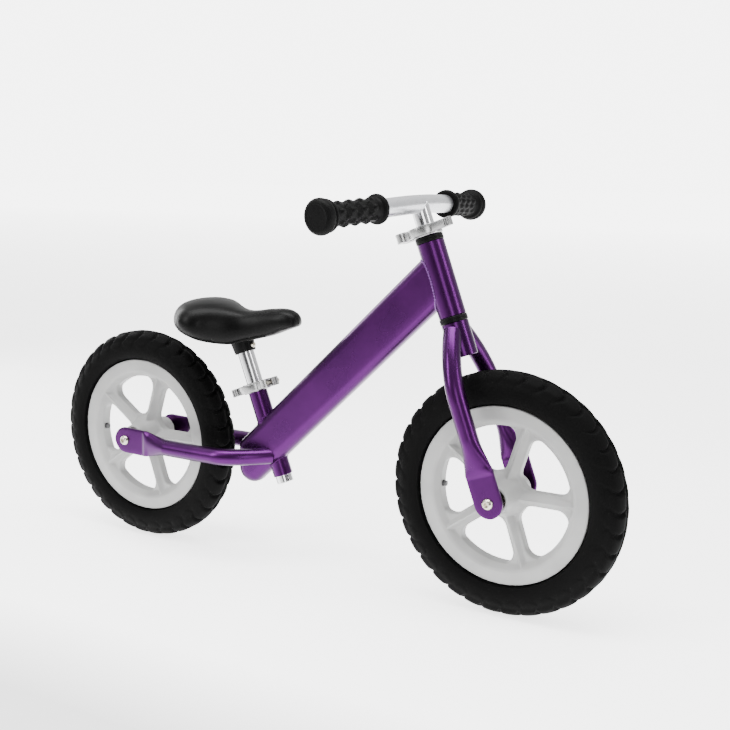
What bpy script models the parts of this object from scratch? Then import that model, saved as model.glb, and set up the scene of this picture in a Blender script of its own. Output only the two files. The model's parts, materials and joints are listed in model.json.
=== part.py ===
"""Balance bike for a small child: two moulded 12-inch wheels, an oval main tube, a fork that
steers, and a saddle and handlebar that slide up and down in quick-release clamps.

Units are metres. +X is forward, +Y the rider's left, +Z up. The origin is on the ground, midway
between the axles. Everything is placed from the driving sizes below.
"""
import math

import bmesh
import bpy
from mathutils import Matrix, Vector

# ---------------------------------------------------------------- driving sizes
WHEELBASE = 0.5573
TYRE_RADIUS = 0.148           # 12 x 1.75 inch tyre over its lugs
TYRE_HALF_WIDTH = 0.0226
TYRE_SECTION = 0.026          # half the tyre section's height
TYRE_HEIGHT = 0.0402          # rim edge to the top of the lugs
LUG_COUNT = 36
LUG_DEPTH = 0.0022

RIM_HALF_WIDTH = 0.0145
RIM_CHANNEL = 0.0078          # depth of the channel that holds the tyre
RIM_LIP = 0.0055              # width of each rim flange
RIM_BAND = 0.0243             # rim edge to the openings between the spokes
WINDOW_INNER_RADIUS = 0.029
WINDOW_CORNER = 0.014
RIM_SLOPE = 0.009             # the rim's side slopes in to the openings over this width
SPOKE_COUNT = 5
SPOKE_HALF_WIDTH = 0.0088
SPOKE_RIDGE = 0.0128          # the ridge stands this far from the wheel's middle plane
WEB_HALF_THICKNESS = 0.0065
VALVE_HOLE_RADIUS = 0.0038

AXLE_WALL = 0.0017
BEARING_RING = 0.008          # bearing's bore to its outside
BEARING_WIDTH = 0.008
HUB_HALF_WIDTH = 0.034
HUB_WALL = 0.003
BOLT_RADIUS = 0.004
BOLT_HEAD_RIM = 0.003         # head beyond the shank
BOLT_HEAD_HEIGHT = 0.0044
BOLT_LENGTH = 0.024
SOCKET_RADIUS = 0.0029

FRAME_TUBE_RADIUS = 0.0111    # fork blades and stays
TUBE_WALL = 0.0018
DROPOUT_Y = 0.0485            # middle plane of each flattened tube end
DROPOUT_THICKNESS = 0.005
DROPOUT_RADIUS = 0.018
DROPOUT_FLAT = 0.033          # the flat runs this far past the axle
DROPOUT_TAPER = 0.042         # then the tube grows round again over this length

STEERING_LEAN = math.radians(20)
CROWN_GAP = 0.021             # front tyre to the bottom of the crown
CROWN_LENGTH = 0.0417
HEADSET_RING = 0.007
HEAD_LENGTH = 0.0914
HEAD_WALL = 0.002
HEAD_ROOM = 0.0018            # steerer to the inside of the head tube
STEERER_WALL = 0.0013
STEM_RADIUS = 0.0111
STEM_WALL = 0.0018
STEM_INSIDE = 0.120           # stem below the top of its clamp
STEM_SHOWN = 0.0155           # stem between its clamp and the bar
BLADE_SHOULDER = 0.080        # height over which a blade curves in to the crown
BLADE_TOP_Y = 0.012

MAIN_END_DROP = 0.02836       # main tube's middle line at its rear end, below the axles
MAIN_HEIGHT = 0.058
MAIN_WIDTH = 0.031
MAIN_FLAT = 0.0017            # half the flat left on each rounded edge
MAIN_WALL = 0.002
MAIN_JOINT = 0.0506           # head tube's lower end up to the main tube's middle line
REAR_TYRE_GAP = 0.0191
STAY_STRAIGHT = 0.0106        # the stays stay straight this far past the rear tyre
STAY_JOINT = 0.0495           # rear end of the main tube to the stays' welds
STAY_SUNK = 0.0015            # stay middle line inside the main tube's side

SEAT_LEAN = math.radians(20.5)
SEAT_JOINT = 0.0503           # rear end of the main tube to the seat tube, level
SEAT_TUBE_WALL = 0.0013
SEAT_TUBE_UP = 0.080
SEAT_TUBE_DOWN = 0.0485
POST_RADIUS = 0.0111
POST_WALL = 0.0018
POST_BELOW = 0.0585
COLLAR_BOTTOM = 0.122
COLLAR_LENGTH = 0.016
SOCKET_DEPTH = 0.029
COLLAR_WALL = 0.003

CLAMP_HEIGHT = 0.0125
CLAMP_WALL = 0.005
CLAMP_REACH = 0.0163          # ears and skewer beyond the clamp's ring
CLAMP_EAR = 0.006
CLAMP_SLIT = 0.0016
SKEWER_RADIUS = 0.0025
SKEWER_OUT = 0.0093
CAM_RADIUS = 0.0075
LEVER_THICKNESS = 0.0045
BAR_LEVER_TIP = 0.0243        # lever tips beyond their clamps' rings
SEAT_LEVER_TIP = 0.0093
PIN_RADIUS = 0.002
NUT_WALL = 0.0027
NUT_HEIGHT = 0.005

BAR_RADIUS = 0.0111
BAR_WALL = 0.0018
BAR_STRAIGHT = 0.025          # half of the bar's straight middle
BAR_SWEEP = math.radians(8.1)
BAR_HALF_WIDTH = 0.182
GRIP_LENGTH = 0.107
GRIP_WALL = 0.0024
GRIP_INNER_LIP = 0.0037       # flanges beyond the grip's body
GRIP_END_LIP = 0.0064
GRIP_END_WALL = 0.004

GAP = 0.0003                  # between pieces that touch or turn in each other
RIM_STEPS = 40                # sides of each rim, half a side off the spokes
ROUND = 24                    # sides of an ordinary round piece

# ---------------------------------------------------------------- worked-out places
RIM_RADIUS = TYRE_RADIUS - TYRE_HEIGHT
RIM_BEAD_RADIUS = RIM_RADIUS - RIM_CHANNEL
WINDOW_RADIUS = RIM_RADIUS - RIM_BAND
AXLE_RADIUS = BOLT_RADIUS + GAP + AXLE_WALL
BEARING_RADIUS = AXLE_RADIUS + BEARING_RING
STEERER_RADIUS = STEM_RADIUS + GAP + STEERER_WALL
HEAD_RADIUS = STEERER_RADIUS + HEAD_ROOM + HEAD_WALL
SEAT_TUBE_RADIUS = POST_RADIUS + GAP + SEAT_TUBE_WALL
MAIN_CORNER = MAIN_WIDTH / 2 - MAIN_FLAT
STAY_JOINT_Y = MAIN_WIDTH / 2 - STAY_SUNK
GRIP_RADIUS = BAR_RADIUS + GAP + GRIP_WALL

AXLE_Z = TYRE_RADIUS
FRONT_X = WHEELBASE / 2
REAR_X = -WHEELBASE / 2
TYRE_CENTRE = TYRE_RADIUS - TYRE_SECTION
DROPOUT_INNER = DROPOUT_Y - DROPOUT_THICKNESS / 2
DROPOUT_OUTER = DROPOUT_Y + DROPOUT_THICKNESS / 2

CROWN_BOTTOM = TYRE_RADIUS + CROWN_GAP
CROWN_TOP = CROWN_BOTTOM + CROWN_LENGTH
LOWER_RING = CROWN_TOP + GAP
HEAD_BOTTOM = LOWER_RING + HEADSET_RING + GAP
HEAD_TOP = HEAD_BOTTOM + HEAD_LENGTH
UPPER_RING = HEAD_TOP + GAP
STEER_CLAMP = UPPER_RING + HEADSET_RING + 2 * GAP
STEERER_TOP = STEER_CLAMP + CLAMP_HEIGHT
BAR_HEIGHT = STEERER_TOP + STEM_SHOWN + BAR_RADIUS
STEERER_BORE = STEM_RADIUS + GAP
MAIN_ON_AXIS = HEAD_BOTTOM + MAIN_JOINT

UP_STEER = Vector((-math.sin(STEERING_LEAN), 0, math.cos(STEERING_LEAN)))
UP_SEAT = Vector((-math.sin(SEAT_LEAN), 0, math.cos(SEAT_LEAN)))
FRONT_AXLE = Vector((FRONT_X, 0, AXLE_Z))
REAR_AXLE = Vector((REAR_X, 0, AXLE_Z))
MAIN_FRONT = FRONT_AXLE + UP_STEER * MAIN_ON_AXIS
REAR_END_X = REAR_X + TYRE_RADIUS + REAR_TYRE_GAP
MAIN_SLOPE = math.atan2(MAIN_FRONT.z - (AXLE_Z - MAIN_END_DROP), MAIN_FRONT.x - REAR_END_X)
UP_MAIN = Vector((math.cos(MAIN_SLOPE), 0, math.sin(MAIN_SLOPE)))
ACROSS_MAIN = Vector((-math.sin(MAIN_SLOPE), 0, math.cos(MAIN_SLOPE)))
SEAT_POINT = MAIN_FRONT - UP_MAIN * ((MAIN_FRONT.x - REAR_END_X - SEAT_JOINT) / UP_MAIN.x)
SEAT_CLAMP = SEAT_TUBE_UP - CLAMP_HEIGHT
SADDLE_HEIGHT = COLLAR_BOTTOM + COLLAR_LENGTH
POST_TOP = SADDLE_HEIGHT + SOCKET_DEPTH / 2

# Saddle stations: distance ahead of the socket, half width, top and lower edge above it.
SADDLE_STATIONS = (
    (-0.1000, 0.0150, 0.0330, 0.0160),
    (-0.0950, 0.0260, 0.0400, 0.0145),
    (-0.0860, 0.0385, 0.0465, 0.0130),
    (-0.0730, 0.0505, 0.0510, 0.0115),
    (-0.0560, 0.0585, 0.0527, 0.0085),
    (-0.0380, 0.0555, 0.0515, 0.0035),
    (-0.0200, 0.0410, 0.0475, -0.0005),
    (-0.0030, 0.0300, 0.0428, -0.0012),
    (0.0140, 0.0235, 0.0403, 0.0030),
    (0.0330, 0.0200, 0.0425, 0.0080),
    (0.0530, 0.0180, 0.0462, 0.0135),
    (0.0720, 0.0165, 0.0490, 0.0210),
    (0.0850, 0.0140, 0.0465, 0.0258),
    (0.0930, 0.0070, 0.0390, 0.0285),
)
SADDLE_LIP = 0.86             # share of the half width inside the cover's lip
SADDLE_BASE_WALL = 0.0037


# ---------------------------------------------------------------- scene and materials
for stale in list(bpy.data.objects):
    bpy.data.objects.remove(stale)

parts = bpy.data.collections.new("balance_bike")
bpy.context.scene.collection.children.link(parts)
cutters = bpy.data.collections.new("cutters")
bpy.context.scene.collection.children.link(cutters)


def material(name, colour, roughness, metallic):
    made = bpy.data.materials.new(name)
    made.use_nodes = True
    shader = made.node_tree.nodes["Principled BSDF"]
    shader.inputs["Base Color"].default_value = (*colour, 1)
    shader.inputs["Roughness"].default_value = roughness
    shader.inputs["Metallic"].default_value = metallic
    made.diffuse_color = (*colour, 1)
    return made


PURPLE = ("purple_anodised", (0.10, 0.030, 0.19), 0.35, 0.9)
SILVER = ("satin_aluminium", (0.62, 0.62, 0.64), 0.30, 1.0)
STEEL = ("plated_steel", (0.48, 0.47, 0.45), 0.25, 1.0)
RUBBER = ("black_rubber", (0.012, 0.012, 0.012), 0.75, 0.0)
FOAM = ("black_foam", (0.014, 0.014, 0.014), 0.85, 0.0)
NYLON = ("grey_nylon", (0.50, 0.50, 0.50), 0.50, 0.0)
BLACK = ("black_plastic", (0.015, 0.015, 0.016), 0.45, 0.0)


def finish(thing, look, smooth_below=35):
    """Give a piece its own material and smooth shading up to an edge angle in degrees."""
    name, colour, roughness, metallic = look
    thing.data.materials.clear()
    thing.data.materials.append(material(f"{thing.name}_{name}", colour, roughness, metallic))
    thing.data.shade_smooth()
    thing.data.set_sharp_from_angle(angle=math.radians(smooth_below))
    return thing


# ---------------------------------------------------------------- modelling helpers
def empty(name, location, turn_about_y=0.0, parent=None):
    made = bpy.data.objects.new(name, None)
    made.location = location
    made.rotation_euler = (0, turn_about_y, 0)
    made.parent = parent
    parts.objects.link(made)
    return made


def add_mesh(name, mesh, parent=None, location=(0, 0, 0), rotation=(0, 0, 0), cutter=False):
    made = bpy.data.objects.new(name, mesh)
    made.parent = parent
    made.location = location
    made.rotation_euler = rotation
    (cutters if cutter else parts).objects.link(made)
    if cutter:
        made.hide_render = True
        made.display_type = "WIRE"
    return made


def rod(name, radius, length, centre, along="Z", sides=ROUND, parent=None, cutter=False):
    """A solid cylinder centred on a point of its parent's frame."""
    work = bmesh.new()
    bmesh.ops.create_cone(
        work, cap_ends=True, segments=sides, radius1=radius, radius2=radius, depth=length
    )
    mesh = bpy.data.meshes.new(name)
    work.to_mesh(mesh)
    work.free()
    turn = {"X": (0, math.pi / 2, 0), "Y": (-math.pi / 2, 0, 0), "Z": (0, 0, 0)}[along]
    return add_mesh(name, mesh, parent, centre, turn, cutter)


def block(name, size, centre, parent=None, cutter=False):
    work = bmesh.new()
    bmesh.ops.create_cube(work, size=1, matrix=Matrix.Diagonal((*size, 1)))
    mesh = bpy.data.meshes.new(name)
    work.to_mesh(mesh)
    work.free()
    return add_mesh(name, mesh, parent, centre, (0, 0, 0), cutter)


def turned(name, profile, look, closed=True, along="Z", steps=ROUND, parent=None, location=(0, 0, 0)):
    """Spin a profile of (radius, height) points, listed down its outer side, about its axis."""
    mesh = bpy.data.meshes.new(name)
    corners = [(radius, 0, height) for radius, height in profile]
    links = [(i, i + 1) for i in range(len(corners) - 1)]
    if closed:
        links.append((len(corners) - 1, 0))
    mesh.from_pydata(corners, links, [])
    turn = (-math.pi / 2, 0, 0) if along == "Y" else (0, 0, 0)
    made = add_mesh(name, mesh, parent, location, turn)
    spin = made.modifiers.new("spin", "SCREW")
    spin.steps = steps
    spin.render_steps = steps
    spin.use_merge_vertices = True
    spin.merge_threshold = 0.00001
    spin.use_smooth_shade = True
    return colour_turned(made, look)


def colour_turned(made, look):
    name, colour, roughness, metallic = look
    made.data.materials.append(material(f"{made.name}_{name}", colour, roughness, metallic))
    return made


def sleeve_profile(inner, outer, low, high):
    """Closed profile of a plain ring or sleeve."""
    return [(outer, high), (outer, low), (inner, low), (inner, high)]


def loft(name, rings, look, parent=None, location=(0, 0, 0)):
    """Skin a run of unlike rings with equal point counts, and close both ends."""
    work = bmesh.new()
    rows = [[work.verts.new(point) for point in ring] for ring in rings]
    count = len(rows[0])
    for near, far in zip(rows, rows[1:]):
        for i in range(count):
            j = (i + 1) % count
            work.faces.new((near[i], near[j], far[j], far[i]))
    work.faces.new(tuple(reversed(rows[0])))
    work.faces.new(rows[-1])
    bmesh.ops.recalc_face_normals(work, faces=work.faces)
    mesh = bpy.data.meshes.new(name)
    work.to_mesh(mesh)
    work.free()
    return finish(add_mesh(name, mesh, parent, location), look)


def boolean(target, tool, operation="DIFFERENCE"):
    step = target.modifiers.new(tool.name, "BOOLEAN")
    step.object = tool
    step.operation = operation
    step.solver = "EXACT"
    return target


def outline_slab(name, outline, half_thickness, parent=None, holes=(), cutter=False):
    """A flat closed outline of (x, y) points, with holes, filled and given a thickness."""
    curve = bpy.data.curves.new(name + "_outline", "CURVE")
    curve.dimensions = "2D"
    curve.fill_mode = "BOTH"
    curve.extrude = half_thickness
    for loop in (outline, *holes):
        line = curve.splines.new("POLY")
        line.points.add(len(loop) - 1)
        line.use_cyclic_u = True
        for point, (across, along) in zip(line.points, loop):
            point.co = (across, along, 0, 1)
    return curve_to_mesh(name, curve, parent, cutter)


def curve_to_mesh(name, curve, parent=None, cutter=False):
    drawn = bpy.data.objects.new(name + "_curve", curve)
    parts.objects.link(drawn)
    bpy.context.view_layer.update()
    evaluated = drawn.evaluated_get(bpy.context.evaluated_depsgraph_get())
    mesh = bpy.data.meshes.new_from_object(evaluated)
    bpy.data.objects.remove(drawn)
    work = bmesh.new()
    work.from_mesh(mesh)
    bmesh.ops.remove_doubles(work, verts=work.verts, dist=0.00001)
    bmesh.ops.dissolve_limit(work, angle_limit=0.001, verts=work.verts, edges=work.edges)
    work.to_mesh(mesh)
    work.free()
    return add_mesh(name, mesh, parent, cutter=cutter)


def arc(centre, radius, start, end, count):
    """Points on an arc between two angles in radians, both ends included."""
    spread = [start + (end - start) * i / (count - 1) for i in range(count)]
    return [(centre[0] + radius * math.cos(a), centre[1] + radius * math.sin(a)) for a in spread]


def rounded_polygon(corners, radii, count):
    """Replace each corner of a counter-clockwise polygon by an arc of its own radius."""
    outline = []
    total = len(corners)
    for i, (corner, radius) in enumerate(zip(corners, radii)):
        here = Vector(corner)
        back = (Vector(corners[i - 1]) - here).normalized()
        ahead = (Vector(corners[(i + 1) % total]) - here).normalized()
        if radius <= 0:
            outline.append(tuple(here))
            continue
        half = back.angle(ahead) / 2
        centre = here + (back + ahead).normalized() * radius / math.sin(half)
        first = here + back * radius / math.tan(half) - centre
        last = here + ahead * radius / math.tan(half) - centre
        start = math.atan2(first.y, first.x)
        sweep = first.angle_signed(last)
        outline += arc(centre, radius, start, start - sweep, count)
    return outline


# ---------------------------------------------------------------- axes that things turn on
front_wheel_axis = empty("front_wheel_axis", FRONT_AXLE)
rear_wheel_axis = empty("rear_wheel_axis", REAR_AXLE)
steering_axis = empty("steering_axis", FRONT_AXLE, -STEERING_LEAN)
seat_axis = empty("seat_axis", SEAT_POINT, -SEAT_LEAN)
saddle_level = empty("saddle_level", SEAT_POINT + UP_SEAT * SADDLE_HEIGHT)


# ---------------------------------------------------------------- wheels
def tyre(name, centre):
    """A foam tyre ring whose shoulders step in and out to make the lugs."""
    inner_half = RIM_HALF_WIDTH - RIM_LIP - GAP
    foot = math.asin((TYRE_CENTRE - RIM_RADIUS - GAP) / TYRE_SECTION)
    tread = [-foot + (math.pi + 2 * foot) * i / 8 for i in range(9)]
    stations = 2 * LUG_COUNT
    rings = []
    for k in range(stations):
        ring = []
        for angle in tread:
            lug = LUG_DEPTH * (k % 2) * min(1, max(0, 1.6 * math.sin(angle)))
            across = (TYRE_HALF_WIDTH - lug / 3) * math.cos(angle)
            out = TYRE_CENTRE + (TYRE_SECTION - lug) * math.sin(angle)
            slant = 2 / 3 * math.cos(angle) ** 2
            ring.append((across, out, slant))
        ring += [(-inner_half, RIM_RADIUS + GAP, 0), (-inner_half, RIM_BEAD_RADIUS + GAP, 0)]
        ring += [(inner_half, RIM_BEAD_RADIUS + GAP, 0), (inner_half, RIM_RADIUS + GAP, 0)]
        turns = [2 * math.pi * (k + slant) / stations for _, _, slant in ring]
        rings.append([
            (out * math.cos(turn), across, out * math.sin(turn))
            for turn, (across, out, _) in zip(turns, ring)
        ])
    work = bmesh.new()
    rows = [[work.verts.new(point) for point in ring] for ring in rings]
    count = len(rows[0])
    for near, far in zip(rows, rows[1:] + rows[:1]):
        for i in range(count):
            j = (i + 1) % count
            work.faces.new((near[i], near[j], far[j], far[i]))
    bmesh.ops.recalc_face_normals(work, faces=work.faces)
    mesh = bpy.data.meshes.new(name)
    work.to_mesh(mesh)
    work.free()
    return finish(add_mesh(name, mesh, centre), FOAM, 25)


def window_outline(turn):
    """One opening between two spokes: parallel to both spokes, round at every corner."""
    half = math.pi / SPOKE_COUNT
    margin = SPOKE_HALF_WIDTH + WINDOW_CORNER
    past_rim = WINDOW_RADIUS + 0.0015
    outer = past_rim - WINDOW_CORNER
    inner = WINDOW_INNER_RADIUS + WINDOW_CORNER
    near_angle = half - math.asin(margin / inner)
    far_angle = half - math.asin(margin / outer)
    corner_far = [(outer * math.cos(a), outer * math.sin(a)) for a in (-far_angle, far_angle)]
    if near_angle > 0:
        corner_near = [(inner * math.cos(a), inner * math.sin(a)) for a in (near_angle, -near_angle)]
    else:
        corner_near = [(margin / math.sin(half), 0)]
    points = arc(corner_far[0], WINDOW_CORNER, -half - math.pi / 2, -far_angle, 4)
    points += arc((0, 0), past_rim, -far_angle, far_angle, 6)[1:-1]
    points += arc(corner_far[1], WINDOW_CORNER, far_angle, half + math.pi / 2, 4)
    points += arc(corner_near[0], WINDOW_CORNER, half + math.pi / 2, 3 * math.pi / 2 - half, 5)
    if near_angle > 0:
        points = points[:-5]
        points += arc(corner_near[0], WINDOW_CORNER, half + math.pi / 2, math.pi, 3)
        points += arc(corner_near[1], WINDOW_CORNER, math.pi, 3 * math.pi / 2 - half, 3)
    cos, sin = math.cos(turn), math.sin(turn)
    return [(x * cos - y * sin, x * sin + y * cos) for x, y in points]


def wheel_moulding(name, centre):
    """Rim, spokes and hub, moulded in one piece."""
    w = RIM_HALF_WIDTH
    channel = w - RIM_LIP
    rim = turned(
        name,
        [
            (RIM_RADIUS, w), (RIM_RADIUS, channel), (RIM_BEAD_RADIUS, channel),
            (RIM_BEAD_RADIUS, -channel), (RIM_RADIUS, -channel), (RIM_RADIUS, -w),
            (WINDOW_RADIUS + RIM_SLOPE, -w), (WINDOW_RADIUS, -WEB_HALF_THICKNESS),
            (WINDOW_RADIUS, WEB_HALF_THICKNESS), (WINDOW_RADIUS + RIM_SLOPE, w),
        ],
        NYLON, along="Y", steps=RIM_STEPS, parent=centre,
    )
    rim.rotation_euler.y = math.pi / RIM_STEPS
    step = 2 * math.pi / SPOKE_COUNT
    windows = [window_outline(step * (i + 0.5)) for i in range(SPOKE_COUNT)]
    overlap = WINDOW_RADIUS + 0.004
    disc = arc((0, 0), overlap, 0, 2 * math.pi * (1 - 1 / RIM_STEPS), RIM_STEPS)
    bore = arc((0, 0), AXLE_RADIUS + 0.008, 0, 2 * math.pi * 15 / 16, 16)
    web = outline_slab(name + "_web", disc, WEB_HALF_THICKNESS - 0.0002, centre, (*windows, bore), True)
    web.rotation_euler = (math.pi / 2, 0, 0)
    boolean(rim, web, "UNION")
    for i in range(SPOKE_COUNT):
        boolean(rim, spoke_ridge(f"{name}_ridge_{i}", step * i, centre), "UNION")
    seat = HUB_HALF_WIDTH - BEARING_WIDTH
    pocket = BEARING_RADIUS + GAP
    shell = pocket + HUB_WALL
    hub = turned(
        name + "_hub",
        [
            (shell, HUB_HALF_WIDTH), (shell + 0.002, 0.020), (shell + 0.007, 0.0085),
            (shell + 0.007, -0.0085), (shell + 0.002, -0.020), (shell, -HUB_HALF_WIDTH),
            (pocket, -HUB_HALF_WIDTH), (pocket, -seat), (AXLE_RADIUS + 0.0035, -seat),
            (AXLE_RADIUS + 0.0035, seat), (pocket, seat), (pocket, HUB_HALF_WIDTH),
        ],
        NYLON, along="Y", parent=centre,
    )
    hub.rotation_euler.y = 1.4 * math.pi / ROUND
    parts.objects.unlink(hub)
    cutters.objects.link(hub)
    hub.hide_render = True
    hub.display_type = "WIRE"
    boolean(rim, hub, "UNION")
    valve = rod(
        name + "_valve_hole", VALVE_HOLE_RADIUS, 0.018, (-WINDOW_RADIUS, 0, 0), "X", 12, centre, True
    )
    boolean(rim, valve)
    return rim


def spoke_ridge(name, turn, centre):
    """A six-sided bar that stands proud of the web and dies out at the rim."""
    start, end = AXLE_RADIUS + 0.013, WINDOW_RADIUS + RIM_SLOPE * 0.85
    work = bmesh.new()
    bmesh.ops.create_cone(
        work, cap_ends=True, segments=6, radius1=1, radius2=1, depth=end - start,
        matrix=Matrix.Translation((0, 0, (start + end) / 2)),
    )
    for vert in work.verts:
        narrow = 0.55 if vert.co.z > (start + end) / 2 else 1.0
        crest = abs(vert.co.y) > 0.9
        vert.co.x = math.copysign(0 if crest else (SPOKE_HALF_WIDTH - 0.0004) * narrow, vert.co.x)
        vert.co.y = math.copysign(SPOKE_RIDGE if crest else WEB_HALF_THICKNESS * 0.75, vert.co.y)
    mesh = bpy.data.meshes.new(name)
    work.to_mesh(mesh)
    work.free()
    return add_mesh(name, mesh, centre, (0, 0, 0), (0, math.pi / 2 - turn, 0), True)


def wheel(end, centre):
    tyre(f"{end}_tyre", centre)
    wheel_moulding(f"{end}_wheel_moulding", centre)
    seat = HUB_HALF_WIDTH - BEARING_WIDTH
    inner = AXLE_RADIUS + GAP
    turned(
        f"{end}_bearing_spacer", sleeve_profile(inner, AXLE_RADIUS + 0.002, -seat + GAP, seat - GAP),
        STEEL, along="Y", steps=16, parent=centre,
    )
    for side, sign in (("left", 1), ("right", -1)):
        low, high = sorted((sign * (seat + GAP), sign * HUB_HALF_WIDTH))
        turned(
            f"{end}_bearing_{side}", sleeve_profile(inner, BEARING_RADIUS, low, high),
            STEEL, along="Y", steps=18, parent=centre,
        )


def axle_set(end, centre):
    """The clamped axle tube, its two outer spacers and the two socket bolts."""
    turned(
        f"{end}_axle",
        sleeve_profile(BOLT_RADIUS + GAP, AXLE_RADIUS, -DROPOUT_INNER + GAP, DROPOUT_INNER - GAP),
        STEEL, along="Y", steps=16, parent=centre,
    )
    for side, sign in (("left", 1), ("right", -1)):
        low, high = sorted((sign * (HUB_HALF_WIDTH + GAP), sign * (DROPOUT_INNER - GAP)))
        turned(
            f"{end}_axle_spacer_{side}",
            sleeve_profile(AXLE_RADIUS + GAP, AXLE_RADIUS + 0.003, low, high),
            BLACK, along="Y", steps=16, parent=centre,
        )
        axle_bolt(f"{end}_axle_bolt_{side}", sign, centre)


def axle_bolt(name, sign, centre):
    """Button-head bolt with a hexagon socket, head outwards."""
    under = DROPOUT_OUTER + GAP
    head, top = BOLT_RADIUS + BOLT_HEAD_RIM, under + BOLT_HEAD_HEIGHT
    profile = [
        (0, top - 0.0026), (SOCKET_RADIUS, top - 0.0026), (SOCKET_RADIUS, top), (head * 0.62, top),
        (head * 0.88, top - BOLT_HEAD_HEIGHT * 0.35), (head, under + BOLT_HEAD_HEIGHT * 0.2),
        (head, under), (BOLT_RADIUS, under), (BOLT_RADIUS, under - BOLT_LENGTH), (0, under - BOLT_LENGTH),
    ]
    bolt = turned(name, profile, STEEL, closed=False, along="Y", steps=12, parent=centre)
    if sign < 0:
        bolt.rotation_euler = (math.pi / 2, 0, 0)
    return bolt


wheel("front", front_wheel_axis)
wheel("rear", rear_wheel_axis)
axle_set("front", front_wheel_axis)
axle_set("rear", rear_wheel_axis)


# ---------------------------------------------------------------- flattened frame tubes
def flattening(distance):
    """Half height and half thickness of a tube at a distance from the axle in its flat end."""
    if distance <= 0:
        reach = max(0.0, 1 - (distance / DROPOUT_RADIUS) ** 2)
        return DROPOUT_RADIUS * math.sqrt(reach), DROPOUT_THICKNESS / 2
    grown = min(1, max(0, (distance - DROPOUT_FLAT) / DROPOUT_TAPER))
    soft = grown ** 0.7
    height = DROPOUT_RADIUS + (FRAME_TUBE_RADIUS - DROPOUT_RADIUS) * grown
    thickness = DROPOUT_THICKNESS / 2 + (FRAME_TUBE_RADIUS - DROPOUT_THICKNESS / 2) * soft
    return height, thickness


def oval_ring(centre, tall_axis, wide_axis, tall, wide, squareness, count=14):
    """A superellipse that is round for squareness 2 and boxier above it."""
    points = []
    for i in range(count):
        angle = 2 * math.pi * (i + 0.5) / count
        c, s = math.cos(angle), math.sin(angle)
        a = math.copysign(abs(c) ** (2 / squareness), c) * tall
        b = math.copysign(abs(s) ** (2 / squareness), s) * wide
        points.append(centre + tall_axis * a + wide_axis * b)
    return points


def frame_tube_rings(route, sign):
    """Rings along a route of (distance, point), flat round the axle and round beyond it."""
    rings = []
    for i, (distance, point) in enumerate(route):
        before = route[max(0, i - 1)][1]
        after = route[min(len(route) - 1, i + 1)][1]
        ahead = (after - before).normalized()
        wide_axis = Vector((0, sign, 0))
        wide_axis = (wide_axis - ahead * wide_axis.dot(ahead)).normalized()
        tall_axis = wide_axis.cross(ahead)
        tall, wide = flattening(distance)
        flat = wide < FRAME_TUBE_RADIUS * 0.6
        rings.append(oval_ring(point, tall_axis, wide_axis, tall, wide, 5 if flat else 2))
    return rings


END_STEPS = [-DROPOUT_RADIUS * math.cos(math.radians(a)) for a in (12, 32, 52, 72, 90)]
FLAT_STEPS = [DROPOUT_FLAT * 0.5, DROPOUT_FLAT]
TAPER_STEPS = [DROPOUT_FLAT + DROPOUT_TAPER * share for share in (0.15, 0.35, 0.6, 1.0)]


def fork_blade(side, sign):
    shoulder = CROWN_BOTTOM + BLADE_SHOULDER * 0.39 - BLADE_SHOULDER
    heights = [shoulder * 0.8, shoulder] if shoulder * 0.8 > TAPER_STEPS[-1] else [shoulder]
    heights += [shoulder + BLADE_SHOULDER * share for share in (0.2, 0.4, 0.6, 0.8, 1.0)]
    route = []
    for height in (*END_STEPS, *FLAT_STEPS, *TAPER_STEPS, *heights):
        inward = max(0, (height - shoulder) / BLADE_SHOULDER) ** 1.85
        y = DROPOUT_Y - (DROPOUT_Y - BLADE_TOP_Y) * inward
        route.append((height, Vector((0, sign * y, height))))
    blade = loft(f"fork_blade_{side}", frame_tube_rings(route, sign), PURPLE, steering_axis)
    boolean(blade, crown_clearance)
    boolean(blade, front_bolt_hole)
    return blade


def chainstay(side, sign):
    straight_end = REAR_X + TYRE_RADIUS + STAY_STRAIGHT
    joint = REAR_END_X + STAY_JOINT
    bend = [straight_end + (joint - straight_end) * share for share in (0, 0.25, 0.5, 0.75, 1.0, 1.12)]
    middle = [(REAR_X + TAPER_STEPS[-1] + straight_end) / 2]
    xs = [REAR_X + d for d in (*END_STEPS, *FLAT_STEPS, *TAPER_STEPS)] + middle + bend
    route = []
    for x in xs:
        inward = max(0, (x - straight_end) / (joint - straight_end)) ** 1.7
        y = DROPOUT_Y - (DROPOUT_Y - STAY_JOINT_Y) * inward
        sag = 0.0015 * math.sin(math.pi * min(1, max(0, (x - REAR_X) / (joint - REAR_X))))
        route.append((x - REAR_X, Vector((x, sign * y, AXLE_Z - sag))))
    stay = loft(f"chainstay_{side}", frame_tube_rings(route, sign), PURPLE)
    boolean(stay, main_tube_clearance)
    boolean(stay, seat_room)
    boolean(stay, rear_bolt_hole)
    return stay


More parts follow.
